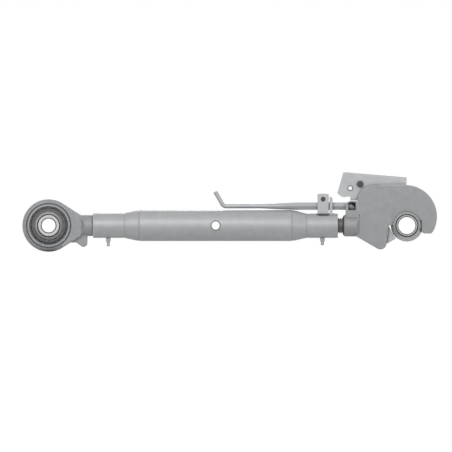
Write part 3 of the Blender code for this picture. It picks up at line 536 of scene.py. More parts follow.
# %% Finishes and their slots
HOLE_CENTRE = Vector(((TUBE_START + TUBE_END) / 2 + STEP, 0, 0))
FORGED = dict(base=(0.40, 0.41, 0.42), shade=(0.27, 0.28, 0.29), rough=0.52, metal=0.25,
              grain=0.0011, relief=0.00022, radius=0.0016, wear=0.6, shade_and_dirt=1.3)
POLISHED = dict(base=(0.66, 0.66, 0.66), shade=(0.52, 0.52, 0.53), rough=0.28, metal=0.6,
                grain=0.0024, relief=0.00003, marks="Y", pitch=0.0007, spread=0.1, wear=0)
RECIPES = {
    "forged_steel": FORGED,
    "eye_steel": dict(FORGED, bands=((0.0395, 0.0427), (0.0338, 0.0364)), stain=0.7),
    "barrel_steel": dict(base=(0.52, 0.53, 0.54), shade=(0.40, 0.41, 0.43), rough=0.46,
                         metal=0.25, grain=0.0016, relief=0.00006, marks="X", pitch=0.0011,
                         centre=HOLE_CENTRE, bands=((0.0070, 0.0096),), stain=0.75, shade_and_dirt=1.3),
    "thread_steel": dict(base=(0.38, 0.38, 0.38), shade=(0.20, 0.19, 0.18), rough=0.36,
                         metal=0.6, grain=0.0012, relief=0.00005, marks="X", pitch=0.0004,
                         radius=0.0005),
    "hardened_ball": dict(POLISHED, bands=((0.0120, 0.0149), (0.0194, 0.0223))),
    "hook_ball": dict(POLISHED, centre=HOOK_CENTRE,
                      bands=((0.0150, 0.0178), (0.0190, 0.0219))),
    "race_steel": dict(base=(0.15, 0.15, 0.16), shade=(0.09, 0.09, 0.10), rough=0.42, metal=0.5,
                       grain=0.0014, relief=0.00005, marks="out", pitch=0.0006, wear=0.5),
    "zinc_plate": dict(base=(0.54, 0.55, 0.56), shade=(0.40, 0.42, 0.45), rough=0.42,
                       metal=0.35, grain=0.0021, relief=0.00006, radius=0.0007, shade_and_dirt=1.3),
    "spring_steel": dict(base=(0.10, 0.10, 0.11), shade=(0.05, 0.05, 0.05), rough=0.42,
                         metal=0.3, grain=0.0010, relief=0.00005, radius=0.0006, wear=0.3),
    "weld_bead": dict(base=(0.13, 0.12, 0.11), shade=(0.06, 0.06, 0.06), rough=0.5, metal=0.4,
                      grain=0.0009, relief=0.00012, radius=0.0006, wear=0.3),
}
FINISHES = {name: steel(name, **recipe) for name, recipe in RECIPES.items()}
print("finishes:", ", ".join(sorted(FINISHES)))

# %% [markdown]
# ## From shape to piece
# A finished piece sits at the origin with its place in its mesh, rides on its CAD body, stands
# for the CAD nodes that it replaces, and names its slot. A weighted normal keeps the flats flat
# between their round edges. Welds and eyelets have no CAD node and only ride along.

# %% Piece helper
made_pieces = []


def piece(name, shape, finish, body, *nodes, smooth=32):
    """Turns a shape into a piece of the link."""
    item = loose(name, shape)
    item.data.shade_smooth()
    item.data.set_sharp_from_angle(angle=math.radians(smooth))
    item.data.materials.append(FINISHES[finish])
    even = item.modifiers.new("even_normals", "WEIGHTED_NORMAL")
    even.keep_sharp = True
    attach(item, body)
    if nodes:
        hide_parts(*nodes)
    made_pieces.append(item)
    count = sum(len(face.vertices) - 2 for face in item.data.polygons)
    size = [round(side * 1000, 1) for side in item.dimensions]
    print(name, "rides on", body, "with", count, "triangles,", size, "mm")
    return item


print("pieces so far:", len(made_pieces))

# %% [markdown]
# ## Swivel balls
# Each ball is a zone of a sphere between two short bosses, bored for its pin: 25.4 mm at the
# tractor, 31.75 mm at the implement. Spinning half of its section about the pin's axis gives
# the whole ball in one closed shell, and the bevel breaks the edges of bore and boss.

# %% Balls
def swivel_ball(name, centre, bore, boss, finish):
    rise = math.degrees(math.acos(boss / BALL_RADIUS))
    section = [(bore, BALL_HALF), (boss, BALL_HALF),
               *arc((0, 0), BALL_RADIUS, rise, -rise, 40), (boss, -BALL_HALF),
               (bore, -BALL_HALF)]
    shape = lathe(section, centre, "Y", steps=112, closed=True)
    piece(name, soften(shape, BALL_EDGE, least=24), finish, name, name)


swivel_ball("tractor_ball", ORIGIN, 0.0129, 0.02115, "hardened_ball")
swivel_ball("implement_ball", HOOK_CENTRE, 0.01595, 0.0205, "hook_ball")

# %% [markdown]
# ## Race
# The race is a ring pressed into the eye, hollow to fit the ball, and split on one side so that
# it could be sprung over it. The split is a thin slot cut through the spun ring, a little askew.
# The CAD ring stands 0.3 mm clear of its seat. Here it nearly fills the seat, so that no light
# comes through the gap.

# %% Race
RACE_FILL = 0.00022
RACE_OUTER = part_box("ball_race")[1].z + RACE_FILL
RACE_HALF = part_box("ball_race")[1].y
RACE_INNER = BALL_RADIUS + STEP
RACE_CHAMFER = 0.0022
SPLIT_SKEW = 6
SPLIT_PLACE = 100
reach = math.degrees(math.asin(RACE_HALF / RACE_INNER))
section = [(RACE_OUTER - RACE_CHAMFER, RACE_HALF), (RACE_OUTER, RACE_HALF - RACE_CHAMFER),
           (RACE_OUTER, RACE_CHAMFER - RACE_HALF), (RACE_OUTER - RACE_CHAMFER, -RACE_HALF),
           *arc((0, 0), RACE_INNER, -reach, reach, 24)]
ring = soften(lathe(section, axis="Y", steps=128, closed=True), 0.0003, least=40)
slot = block((RACE_INNER - OVERRUN, -0.02, -0.0004), (RACE_OUTER + OVERRUN, 0.02, 0.0004))
turn_shape(slot, SPLIT_SKEW, "X")
turn_shape(slot, -SPLIT_PLACE, "Y")
piece("ball_race", combined(ring, [slot]), "race_steel", "ball_end", "ball_race")

# %% [markdown]
# ## Eye forging
# The eye is a disc whose rim falls away from its faces, with two flanks that run down to a round
# shank and a small stop lug below. The rough body is a union of a lathe, two plates and a turned
# shank that is scooped where it meets the flat faces. It is skinned as a forging. The boss is
# then faced flat, a groove is turned round it, and the seat for the race is bored through it.

# %% Eye forging
EYE_HALF = 0.0145
EYE_RADIUS = 0.049
SHANK_RADIUS = 0.01975


def scooped(shank, centre, scoop, radius, flat_half):
    """Cuts both sides of a round shank down to the flat faces, along a round scoop."""
    outer = radius + OVERRUN
    cutters = [rod(centre + Vector((0, side * (flat_half - STEP), 0)),
                   centre + Vector((0, side * outer, 0)),
                   scoop, scoop + 1.12 * (outer - flat_half), steps=128) for side in (-1, 1)]
    return combined(shank, cutters)


def disc_of(rim):
    """A disc about the eye's axis, the same on both sides, from half of its rim."""
    far = [(radius, -place) for radius, place in reversed(rim)]
    return lathe([(0, rim[0][1]), *rim, *far, (0, -rim[0][1])], axis="Y", steps=128)


def eye_forging():
    flat = EYE_HALF - 0.0005
    disc = disc_of([(0.0429, flat), (EYE_RADIUS, 0.0095)])
    slope = math.radians(32.4)
    across, up = EYE_RADIUS * math.sin(slope), EYE_RADIUS * math.cos(slope)
    meeting = across + (up - SHANK_RADIUS) / math.tan(slope)
    upper = [(across, up), (meeting, SHANK_RADIUS), (0.0618, 0.0134)]
    flanks = plate([(0, 0), *upper, *[(x, -z) for x, z in reversed(upper)]], -flat, flat)
    shank = lathe([(0, 0.0828), (0.01875, 0.0828), (SHANK_RADIUS, 0.0818),
                   (SHANK_RADIUS, 0.040), (0, 0.040)], steps=128)
    shank = scooped(shank, ORIGIN, 0.0603, SHANK_RADIUS, flat)
    lobe = arc((0.0653, -0.0326), 0.0074, -125, 0, 14)
    nose = plate([(0.0405, -0.0099), (0.0405, -0.0318), (0.0520, -0.0318), *lobe,
                  (0.0727, -0.0099)], -0.008, 0.008)
    skin = forged_skin(combined(disc, [flanks, shank, nose], "UNION"), SKIN_PASSES)
    skin = scooped(skin, ORIGIN, 0.0613, SHANK_RADIUS, flat + STEP)
    faced = disc_of([(0.0408, EYE_HALF)])
    cutters = [disc_of([(0.0389, 0.017), (0.034, 0.0121)])]
    groove = [(0.0396, 0.016), (0.0400, 0.0131), (0.0421, 0.0131), (0.0427, 0.016)]
    for side in (-1, 1):
        cutters.append(lathe([(radius, side * place) for radius, place in groove], axis="Y",
                             steps=128, closed=True))
    return combined(combined(skin, [faced], "UNION"), cutters)


piece("ball_end", eye_forging(), "eye_steel", "ball_end", "ball_end")

# %% [markdown]
# ## Spindles
# Both spindles carry an M30 thread with a pitch of 3.5 mm, one right-handed and one left-handed,
# so that turning the barrel moves both ends at once. One tooth of the thread is spun about X
# while it moves along by its pitch each turn, the ends are cut square, and the free end is
# turned down to a chamfer.

# %% Thread
PITCH = 0.0035
MAJOR = 0.015
MINOR = MAJOR - 0.0021
TOOTH = ((0, MINOR), (0.000875, MINOR), (0.00197, MAJOR), (0.00241, MAJOR), (PITCH, MINOR))


def spindle(root, tip, hand):
    """A threaded spindle from its root to its chamfered tip."""
    low, high = min(root, tip), max(root, tip)
    steps = 40
    turns = math.ceil((high - low) / PITCH) + 2
    shape = chain([(low - 2 * PITCH + place, 0, radius) for place, radius in TOOTH])[0]
    bmesh.ops.spin(shape, geom=shape.verts[:] + shape.edges[:], cent=(0, 0, 0),
                   axis=(hand, 0, 0), dvec=(PITCH / steps, 0, 0), angle=math.tau * turns,
                   steps=steps * turns)
    bmesh.ops.remove_doubles(shape, verts=shape.verts, dist=MERGE)
    for place, side in ((low, -1), (high, 1)):
        bmesh.ops.bisect_plane(shape, geom=shape.verts[:] + shape.edges[:] + shape.faces[:],
                               dist=0.000001, plane_co=(place, 0, 0), plane_no=(side, 0, 0),
                               clear_outer=True)
        rim = [edge for edge in shape.edges if edge.is_boundary
               and all(abs(vert.co.x - place) < MERGE for vert in edge.verts)]
        bmesh.ops.edgeloop_fill(shape, edges=rim)
    bmesh.ops.recalc_face_normals(shape, faces=shape.faces)
    for vert in shape.verts:
        limit = MAJOR - 0.003 + abs(vert.co.x - tip)
        radius = math.hypot(vert.co.y, vert.co.z)
        if radius > limit:
            vert.co.y *= limit / radius
            vert.co.z *= limit / radius
    return shape


for name, root, tip, hand, body in (("left_spindle", 0, 1, 1, "ball_end"),
                                    ("right_spindle", 1, 0, -1, "hook")):
    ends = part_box(name)
    piece(name, spindle(ends[root].x, ends[tip].x, hand), "thread_steel", body, name)

# %% [markdown]
# ## Barrel
# The barrel is one tube, necked down at both ends to sleeves that hold the nut threads. A bar
# goes through the cross hole in its middle to turn it. The hole has a chamfer on both sides, so
# that the bar doesn't cut its own way, and a turned line marks both ends of each cone.

# %% Barrel
BARREL_RADIUS = 0.029
TOMMY_RADIUS = 0.00765
NIPPLES = ("left_grease_nipple", "right_grease_nipple")


def barrel():
    neck, sleeve = 0.0273, 0.0584
    low, high = TUBE_START + sleeve, TUBE_END - sleeve
    slope = (BARREL_RADIUS - SLEEVE_RADIUS) / neck

    def outer(place):
        rise = slope * max(0, min(place - low, high - place))
        return min(BARREL_RADIUS, SLEEVE_RADIUS + rise)

    rim = [(SLEEVE_RADIUS, TUBE_END)]
    shallow, deep, half = 0.0006, 0.001, 0.0003
    for place, depth in ((high, shallow), (high - neck, deep), (low + neck, deep), (low, shallow)):
        flank = half + depth
        floor = outer(place) - depth
        rim += [(outer(place + flank), place + flank), (floor, place + half),
                (floor, place - half), (outer(place - flank), place - flank)]
    rim.append((SLEEVE_RADIUS, TUBE_START))

    def at_end(edge):
        return all(not low - 0.003 < vert.co.x < high + 0.003 for vert in edge.verts)

    section = [(0.0163, TUBE_END), *rim, (0.0163, TUBE_START),
               (0.0153, TUBE_START + 0.001), (0.0153, low), (0.021, low + neck),
               (0.021, high - neck), (0.0153, high), (0.0153, TUBE_END - 0.001)]
    shape = lathe(section, steps=128, closed=True)
    shape = soften(shape, 0.0009, segments=4, least=40, only=at_end)
    mouth = [(0, 0.0302), (TOMMY_RADIUS + 0.0023, 0.0302), (TOMMY_RADIUS, 0.0279)]
    far = [(radius, -place) for radius, place in reversed(mouth)]
    cutters = [lathe([*mouth, *far], HOLE_CENTRE, "Y", steps=64)]
    for name in NIPPLES:
        low_corner, high_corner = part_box(name)
        place = (low_corner.x + high_corner.x) / 2
        cutters.append(rod((place, 0, -0.035), (place, 0, -0.001), 0.0033, steps=32))
    return combined(shape, cutters)


piece("tube", barrel(), "barrel_steel", "barrel", "tube")

# %% [markdown]
# ## Grease nipples
# A grease nipple is a hexagon to tighten it by, a waist, and a round head for the grease gun. The
# head is spun from a smooth section, and the hexagon is a six-sided cone of Blender's with its
# corners turned off, as on the real one.

# %% Grease nipples
def nipple(name):
    low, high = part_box(name)
    place = (low.x + high.x) / 2
    axis = Vector((place, 0, 0))
    seat = -SLEEVE_RADIUS - STEP
    hex_low = seat - 0.006
    tip = low.z
    head = arc((0, tip + 0.0033), 0.0033, 0, -62, 8)
    section = [(0, -0.0157), (0.003, -0.0157), (0.003, seat - 0.002), (0.0041, hex_low + 0.0005),
               (0.0034, hex_low - 0.0008), (0.0024, (hex_low + tip) / 2 + 0.0008),
               (0.0025, tip + 0.0052), *head, (0.0010, tip), (0.0008, tip + 0.0006),
               (0, tip + 0.0006)]
    shank = lathe(section, axis, "Z", steps=40)
    corner = 0.0045 / math.cos(math.pi / 6)
    hexagon = soften(rod((place, 0, hex_low), (place, 0, seat), corner, steps=6), 0.0002, 2)
    turned_off = lathe([(0, seat), (corner - 0.0003, seat), (corner + 0.0001, seat - 0.0008),
                        (corner + 0.0001, hex_low + 0.0014), (corner - 0.0010, hex_low),
                        (0, hex_low)], axis, "Z", steps=48)
    hexagon = combined(hexagon, [turned_off], "INTERSECT")
    piece(name, combined(hexagon, [shank], "UNION"), "zinc_plate", "barrel", name)


for nipple_name in NIPPLES:
    nipple(nipple_name)

# %% [markdown]
# ## Bracket, pin and guide
# The bracket is a channel of thick sheet, welded to the sleeve with its two cheeks up. The bar
# runs between the cheeks, and a short pin with dimpled ends over it keeps it in. The guide is a
# thinner plate with a six-sided hole. Bracket and guide are plates with a few cuts, and a small
# bevel breaks their edges. The pin is spun, and so are the rippled weld beads.

# %% Bracket
BAR_HALF = 0.0069
BAR_CORNER = BAR_HALF / math.cos(math.pi / 6)
CHEEK_INNER = BAR_CORNER + PLAY
CHEEK_OUTER = CHEEK_INNER + 0.004
CROSS_PIN_HEIGHT = 0.0492


def hexagon_hole(start, end):
    """A six-sided cutter on the bar's axis, flats above and below."""
    corner = BAR_CORNER + PLAY
    hole = along_x(start, end, corner, BAR_HEIGHT, steps=6)
    low = min(vert.co.z for vert in hole.verts)
    if BAR_HEIGHT - low > corner - MERGE:
        turn_shape(hole, 30, "X", (start, 0, BAR_HEIGHT))
    return hole


def bracket():
    low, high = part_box("lock_bracket")
    start, end = low.x, high.x
    middle, half = (start + end) / 2, (end - start) / 2
    rise = 0.0013
    radius = (half * half + rise * rise) / (2 * rise)
    turn = math.degrees(math.asin(half / radius))
    top = arc((middle, high.z - radius), radius, 90 - turn, 90 + turn, 16)
    shape = plate([(start, 0), (end, 0), *top], -CHEEK_OUTER, CHEEK_OUTER)
    floor = BAR_HEIGHT - BAR_HALF - PLAY
    shape = combined(shape, [
        block((start - OVERRUN, -CHEEK_INNER, floor), (end + OVERRUN, CHEEK_INNER, 0.07))])
    shape = soften(shape, 0.0007)
    return combined(shape, [
        along_x(start - OVERRUN, end + OVERRUN, SLEEVE_RADIUS + STEP),
        rod((middle, -0.02, CROSS_PIN_HEIGHT), (middle, 0.02, CROSS_PIN_HEIGHT), 0.0053)])


def cross_pin():
    low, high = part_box("bracket_pin")
    half = high.y
    near = [(0, 0.0018), (0.0015, 0.0002), (0.0018, 0), (0.0043, 0), (0.0048, 0.0002),
            (0.005, 0.0007)]
    section = [(radius, half - depth) for radius, depth in near]
    section += [(radius, depth - half) for radius, depth in reversed(near)]
    return lathe(section, Vector(((low.x + high.x) / 2, 0, CROSS_PIN_HEIGHT)), "Y", steps=64)


def guide():
    low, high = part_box("bar_guide")
    rounding = 0.004
    corner = arc((high.x - rounding, high.z - rounding), rounding, 0, 90, 10)
    shape = plate([(low.x, 0), (high.x, 0), *corner, (low.x, high.z)], low.y, high.y)
    shape = soften(shape, 0.0006, least=40)
    start, end = low.x - OVERRUN, high.x + OVERRUN
    return combined(shape, [hexagon_hole(start, end),
                            along_x(start, end, SLEEVE_RADIUS + STEP)])


def weld_beads(start, end, half, radius):
    """Two beads along the feet of a block that is welded across a shaft."""
    low = Vector((0, half + 0.0004, math.sqrt(radius ** 2 - half ** 2) + 0.0008))
    ripples = round((end - start) / 0.0016) * 4
    profile = [(0, start)]
    for index in range(1, ripples):
        share = index / ripples
        crown = min(1, 6 * share, 6 * (1 - share)) ** 0.5
        ripple = 0.00016 * math.cos(math.tau * index / 4)
        profile.append((0.0020 * crown + ripple, start + (end - start) * share))
    profile.append((0, end))
    near, far = (lathe(profile, low * Vector((0, side, 1)), steps=24) for side in (1, -1))
    return combined(near, [far], "UNION")


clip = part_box("lock_bracket")
piece("bracket_weld", weld_beads(clip[0].x - 0.0005, clip[1].x + 0.0005, CHEEK_OUTER,
                                 SLEEVE_RADIUS), "weld_bead", "barrel")
piece("lock_bracket", bracket(), "zinc_plate", "barrel", "lock_bracket")
piece("bracket_pin", cross_pin(), "spring_steel", "barrel", "bracket_pin")
piece("bar_guide", guide(), "zinc_plate", "barrel", "bar_guide")

# %% [markdown]
# ## Lock bar
# The bar starts as hexagon stock with a bevelled end, is drawn down to a round rod, and its other
# end is bent up and back as a handle. A loft follows that: a ring of points, six-sided or round,
# is copied to each place along the bar, and neighbouring rings are bridged. So the flats fade
# into the round by themselves. A turned block then cuts the bevel.

# %% Lock bar
HANDLE_TURN = 60.5
BEND_STEPS = 10
TAPER_STEPS = 8
HEXAGON_CUTS = 5


def bar_places(end):
    """Centre, turn, radius and roundness of each ring along the bar."""
    taper, wire = 0.0624, 0.004
    hex_start = end - 0.1156
    rod_start = hex_start - taper - 0.0653
    stops = [(end, BAR_CORNER - 0.002, 0), (end - 0.002, BAR_CORNER, 0), (hex_start, BAR_CORNER, 0)]
    for index in range(1, TAPER_STEPS + 1):
        share = index / TAPER_STEPS
        stops.append((hex_start - taper * share,
                      BAR_CORNER + (wire - BAR_CORNER) * share, share ** 1.5))
    places = [(Vector((x, 0, BAR_HEIGHT)), 0, radius, share) for x, radius, share in stops]
    bend = 0.009
    for index in range(BEND_STEPS + 1):
        turn = HANDLE_TURN * index / BEND_STEPS
        angle = math.radians(turn)
        places.append((Vector((rod_start - bend * math.sin(angle), 0,
                               BAR_HEIGHT + bend * (1 - math.cos(angle)))), turn, wire, 1))
    corner, heading = places[-1][0], math.radians(HANDLE_TURN)
    ahead = Vector((-math.cos(heading), 0, math.sin(heading)))
    for length, radius in ((0.0249, 1), (0.0256, 0.9), (0.0260, 0.72), (0.0262, 0.4)):
        places.append((corner + ahead * length, HANDLE_TURN, wire * radius, 1))
    return places


def lock_bar():
    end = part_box("lock_bar")[1].x
    shape = bmesh.new()
    bmesh.ops.create_circle(shape, segments=6, radius=1)
    bmesh.ops.subdivide_edges(shape, edges=shape.edges[:], cuts=HEXAGON_CUTS)
    pattern = shape.verts[:] + shape.edges[:]
    rings = []
    for centre, turn, radius, share in bar_places(end):
        copy = bmesh.ops.duplicate(shape, geom=pattern)["geom"]
        verts = [item for item in copy if isinstance(item, bmesh.types.BMVert)]
        for vert in verts:
            vert.co = vert.co.lerp(vert.co.normalized(), share)
        bmesh.ops.scale(shape, vec=(radius,) * 3, verts=verts)
        facing = Matrix.Rotation(math.radians(turn - 90), 4, "Y")
        bmesh.ops.transform(shape, matrix=Matrix.Translation(centre) @ facing, verts=verts)
        rings.append([item for item in copy if isinstance(item, bmesh.types.BMEdge)])
    bmesh.ops.delete(shape, geom=pattern[:6 * (HEXAGON_CUTS + 1)], context="VERTS")
    for first, second in zip(rings, rings[1:]):
        bmesh.ops.bridge_loops(shape, edges=first + second)
    for ring_edges in (rings[0], rings[-1]):
        bmesh.ops.edgeloop_fill(shape, edges=ring_edges)
    bmesh.ops.recalc_face_normals(shape, faces=shape.faces)
    bevel = block((0, -0.012, -0.022), (0.022, 0.012, 0.022))
    turn_shape(bevel, -45, "Y")
    bmesh.ops.translate(bevel, vec=(end, 0, BAR_HEIGHT - BAR_HALF + 0.0015), verts=bevel.verts)
    return combined(shape, [bevel])


piece("lock_bar", lock_bar(), "zinc_plate", "lock_bar", "lock_bar", smooth=28)

# %% [markdown]
# ## Catch hook
# The hook's head is a thick plate in side view: a flat back with a round crest, a long round nose
# over the ball and a jaw below its mouth. The shank is round and scooped down to the plate. As
# with the eye, the rough body is skinned as a forging. The seat for the ball, the slot for the
# lever, the slanting way of the bolt and the hole for its stop pin are then machined into it.

# %% Where the bolt runs
BOLT_TURN = math.radians(60.7)
BOLT_AXIS = Vector((-math.cos(BOLT_TURN), 0, math.sin(BOLT_TURN)))
BOLT_SIDE = Vector((math.sin(BOLT_TURN), 0, math.cos(BOLT_TURN)))
BOLT_END = HOOK_CENTRE + Vector((-0.0279, 0, -0.0286))
BOLT_FRONT = (HOOK_CENTRE - BOLT_END).dot(BOLT_SIDE) - BALL_RADIUS - STEP
BOLT_BACK = 0.0116
BOLT_HALF = 0.0067
LINK_PLACE = 0.1215
LINK_CENTRE = BOLT_END + LINK_PLACE * BOLT_AXIS
LINK_HOLE = 0.0043
STOP_PLACE = 0.063
STOP_CENTRE = BOLT_END + STOP_PLACE * BOLT_AXIS
PIN_RADIUS = 0.004


def along_bolt(back, front, half, start, end):
    """A block that lies along the bolt's way."""
    shape = block((-back, -half, start), (front, half, end))
    turn = Matrix((BOLT_SIDE, (0, 1, 0), BOLT_AXIS)).transposed().to_4x4()
    bmesh.ops.transform(shape, matrix=Matrix.Translation(BOLT_END) @ turn, verts=shape.verts)
    return shape


print("link pin at", [round(value, 4) for value in LINK_CENTRE])

# %% Catch hook
HOOK_HALF = 0.0145
HEAD_TOP = 0.0758
LEVER_FLOOR = 0.0455


def hook_outline():
    """Root, back, crest, nose, tip, mouth and jaw, about the ball's centre."""
    lip = math.sqrt(BALL_RADIUS ** 2 - HOOK_HALF ** 2)
    return [(-0.0885, -0.0140), (-0.0885, 0.0140), (-0.0877, 0.0168),
            *arc((-0.0618, 0.0448), 0.031, 180, 90, 20),
            *arc((-0.0028, 0.0168), 0.059, 90, -26, 60),
            (0.0456, -0.0150), (0.0325, -0.0150), (lip + 0.001, -0.0122),
            (lip + 0.001, lip * math.sin(math.radians(22))),
            *arc((0, 0), lip, 22, 179.1, 48),
            (-0.034, 0.0004),
            *arc((-0.0495, -0.0336), 0.0112, 0, -115, 16),
            (-0.096, -0.0197)]


def catch_hook():
    head = plate(hook_outline(), -HOOK_HALF, HOOK_HALF, HOOK_CENTRE)
    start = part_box("hook")[0].x
    shank = lathe([(0, 0.5965), (HOOK_SHANK, 0.5965), (HOOK_SHANK, start + 0.001),
                   (HOOK_SHANK - 0.001, start), (0, start)], steps=128)
    shank = scooped(shank, HOOK_CENTRE, 0.087, HOOK_SHANK, HOOK_HALF)
    skin = forged_skin(combined(head, [shank], "UNION"), SKIN_PASSES)
    skin = scooped(skin, HOOK_CENTRE, 0.088, HOOK_SHANK, HOOK_HALF + STEP)
    radius = BALL_RADIUS + STEP
    way = lathe([(0, radius), *arc((0, 0), radius, 90, 0, 32)[1:], (radius, -0.06), (0, -0.06)],
                HOOK_CENTRE, "Z", steps=128)
    lever_slot = block((HOOK_CENTRE.x - 0.1302, -BOLT_HALF - STEP, LEVER_FLOOR),
                       (HOOK_CENTRE.x - 0.046, BOLT_HALF + STEP, HEAD_TOP + OVERRUN))
    rise = LEVER_FLOOR - BOLT_END.z + BOLT_BACK * BOLT_SIDE.z
    channel = along_bolt(BOLT_BACK + STEP, BOLT_FRONT + STEP, BOLT_HALF + STEP, -BOLT_BACK,
                         rise / BOLT_AXIS.z + OVERRUN)
    hole = rod(STOP_CENTRE + Vector((0, 0.003 - HOOK_HALF, 0)),
               STOP_CENTRE + Vector((0, HOOK_HALF + OVERRUN, 0)), PIN_RADIUS + STEP)
    return combined(skin, [way, lever_slot, channel, hole])


piece("hook", catch_hook(), "forged_steel", "hook", "hook")

# %% [markdown]
# ## Lug on the shank
# The lug is a small forged block with a sloping shoulder, welded over the shank, and its end
# follows the hook's back. The bar's end sits in its six-sided way, seen through a window in the
# near side, and so the hook can't turn against the barrel. A bead welds the spindle to the shank.

# %% Lug
def bar_lug():
    low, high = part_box("bar_lug")
    top_end, top = HOOK_CENTRE.x - 0.0933, 0.0464
    outline = [(low.x, 0), (high.x, 0), (high.x, 0.0168), (top_end, 0.0448), (top_end, top),
               (low.x + 0.0092, top), (low.x, 0.0411)]
    shape = soften(plate(outline, low.y, high.y), 0.0008)
    room = BAR_HALF + PLAY
    window = block((low.x + 0.0050, -0.026, BAR_HEIGHT - room),
                   (top_end - 0.0024, 0, BAR_HEIGHT + room))
    start, end = low.x - OVERRUN, high.x + OVERRUN
    return combined(shape, [along_x(start, end, HOOK_SHANK + STEP), hexagon_hole(start, end),
                            window])


piece("bar_lug", bar_lug(), "forged_steel", "hook", "bar_lug")
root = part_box("hook")[0].x
bead = [(0.0152, root + 0.0005), (0.0190, root + 0.0005), (0.0188, root - 0.0006),
        (0.0178, root - 0.0017), (0.0165, root - 0.0024), (0.0152, root - 0.0028)]
piece("hook_weld", lathe(bead, steps=96, closed=True), "weld_bead", "hook")

# %% [markdown]
# ## Locking bolt, stop pin and spring
# The bolt is a flat bar that slides in the hook's slanting way. Its thinner tongue ends in an eye
# for the link pin. A slot through it holds a compression spring, which bears on a fixed pin and
# pushes the bolt down in front of the ball. When the bolt is lifted the spring shortens.

# %% Bolt and stop pin
SPRING_SEAT = 0.024


def locking_bolt():
    slot = along_bolt(0.005, 0.005, 0.02, SPRING_SEAT, 0.0673)
    shape = soften(combined(along_bolt(BOLT_BACK, BOLT_FRONT, BOLT_HALF, 0, 0.072), [slot]), 0.0007)
    width = 0.0085
    tongue = along_bolt(width, BOLT_FRONT - PLAY, 0.0034, 0.068, LINK_PLACE)
    half = Vector((0, 0.0033, 0))
    eye = soften(rod(LINK_CENTRE - half, LINK_CENTRE + half, width), 0.0005)
    shape = combined(shape, [soften(tongue, 0.0006), eye], "UNION")
    return combined(shape, [across_pin(LINK_CENTRE, LINK_HOLE)])


def stop_pin():
    low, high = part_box("stop_pin")
    section = [(0, high.y), (0.0034, high.y), (PIN_RADIUS, high.y - 0.0006),
               (PIN_RADIUS, low.y + 0.0004), (0.0036, low.y), (0, low.y)]
    return lathe(section, STOP_CENTRE, "Y", steps=56)


piece("locking_bolt", locking_bolt(), "zinc_plate", "locking_bolt", "locking_bolt")
piece("stop_pin", stop_pin(), "spring_steel", "hook", "stop_pin")

# %% Spring
SPRING_TOP = STOP_PLACE - PIN_RADIUS


def bolt_spring():
    """A coil with closed ends, bent from a round wire as a curve and made a mesh."""
    wire, radius, turns = 0.0006, 0.0038, 6
    low, high = SPRING_SEAT + STEP + wire, SPRING_TOP - STEP - wire
    curve = bpy.data.curves.new("bolt_spring", "CURVE")
    curve.dimensions = "3D"
    curve.bevel_depth = wire
    curve.bevel_resolution = 4
    curve.use_fill_caps = True
    path = curve.splines.new("POLY")
    count = turns * 32
    path.points.add(count)
    for index, point in enumerate(path.points):
        share = index / count
        turn = math.tau * turns * share
        place = BOLT_END + BOLT_SIDE * radius * math.cos(turn)
        place += Vector((0, radius * math.sin(turn), 0))
        place += BOLT_AXIS * (low + (high - low) * share)
        point.co = (*place, 1)
    item = linked("coil", curve)
    bpy.context.view_layer.update()
    shape = bmesh.new()
    mesh = bpy.data.meshes.new_from_object(
        item.evaluated_get(bpy.context.evaluated_depsgraph_get()))
    shape.from_mesh(mesh)
    bpy.data.meshes.remove(mesh)
    bpy.data.objects.remove(item, do_unlink=True)
    bmesh.ops.remove_doubles(shape, verts=shape.verts, dist=MERGE)
    return shape


spring = piece("bolt_spring", bolt_spring(), "spring_steel", "hook", "bolt_spring")
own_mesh(spring)

# %% [markdown]
# ## Release lever
# The lever is folded from 3 mm sheet into an upside-down channel: a straight back and two equal
# cheeks that sit over the bolt's tongue. A plate gives its outline, a second one hollows it, and
# the two long edges of the back get the wide radius of a fold before the others are broken.

# %% Release lever
LEVER_HALF = BOLT_HALF
LEVER_LENGTH = 0.1189
LEVER_TOE = 0.0903
LEVER_HEEL = 0.1002
SHEET = 0.003
CORD_CENTRE = HOOK_CENTRE + Vector((-0.106, 0, 0.0698))
CORD_RADIUS = 0.00355


def lever_top(across):
    """The height of the lever's back, which falls from heel to toe."""
    return LEVER_TOE - (LEVER_HEEL - LEVER_TOE) / LEVER_LENGTH * across


def release_lever():
    deck = HEAD_TOP + STEP
    finger = arc((-0.1171, 0.0649), 0.012, -132, -68, 12)
    foot = 0.0472
    outline = [(0, LEVER_TOE), (-LEVER_LENGTH, LEVER_HEEL), (-0.1302, 0.0603), *finger,
               (-0.106, finger[-1][1]), (-0.106, foot), (-0.050, foot), (-0.050, deck),
               (-0.0011, deck)]
    shape = plate(outline, -LEVER_HALF, LEVER_HALF, HOOK_CENTRE)

    def on_fold(edge):
        return all(abs(vert.co.z - lever_top(vert.co.x - HOOK_CENTRE.x)) < STEP
                   and abs(vert.co.y) > LEVER_HALF - STEP for vert in edge.verts)

    shape = soften(shape, 0.0028, 6, only=on_fold)
    inner = LEVER_HALF - SHEET
    hollow = plate([(-0.14, 0.04), (0.006, 0.04), (0.006, lever_top(0.006) - SHEET),
                    (-0.14, lever_top(-0.14) - SHEET)], -inner, inner, HOOK_CENTRE)
    shape = combined(shape, [hollow, across_pin(LINK_CENTRE, LINK_HOLE),
                             across_pin(CORD_CENTRE, CORD_RADIUS, 48)])
    return soften(shape, 0.0004, 2, least=50)


def cord_eyelets():
    """A pressed ring round the cord hole on each cheek."""
    rim = [(CORD_RADIUS, 0.0001), (0.0052, 0.0001), (0.0050, 0.0006), (0.0044, 0.0009),
           (0.0037, 0.0007)]
    near, far = (lathe([(radius, side * (LEVER_HALF + proud)) for radius, proud in rim],
                       CORD_CENTRE, "Y", steps=56, closed=True) for side in (-1, 1))
    return combined(near, [far], "UNION")


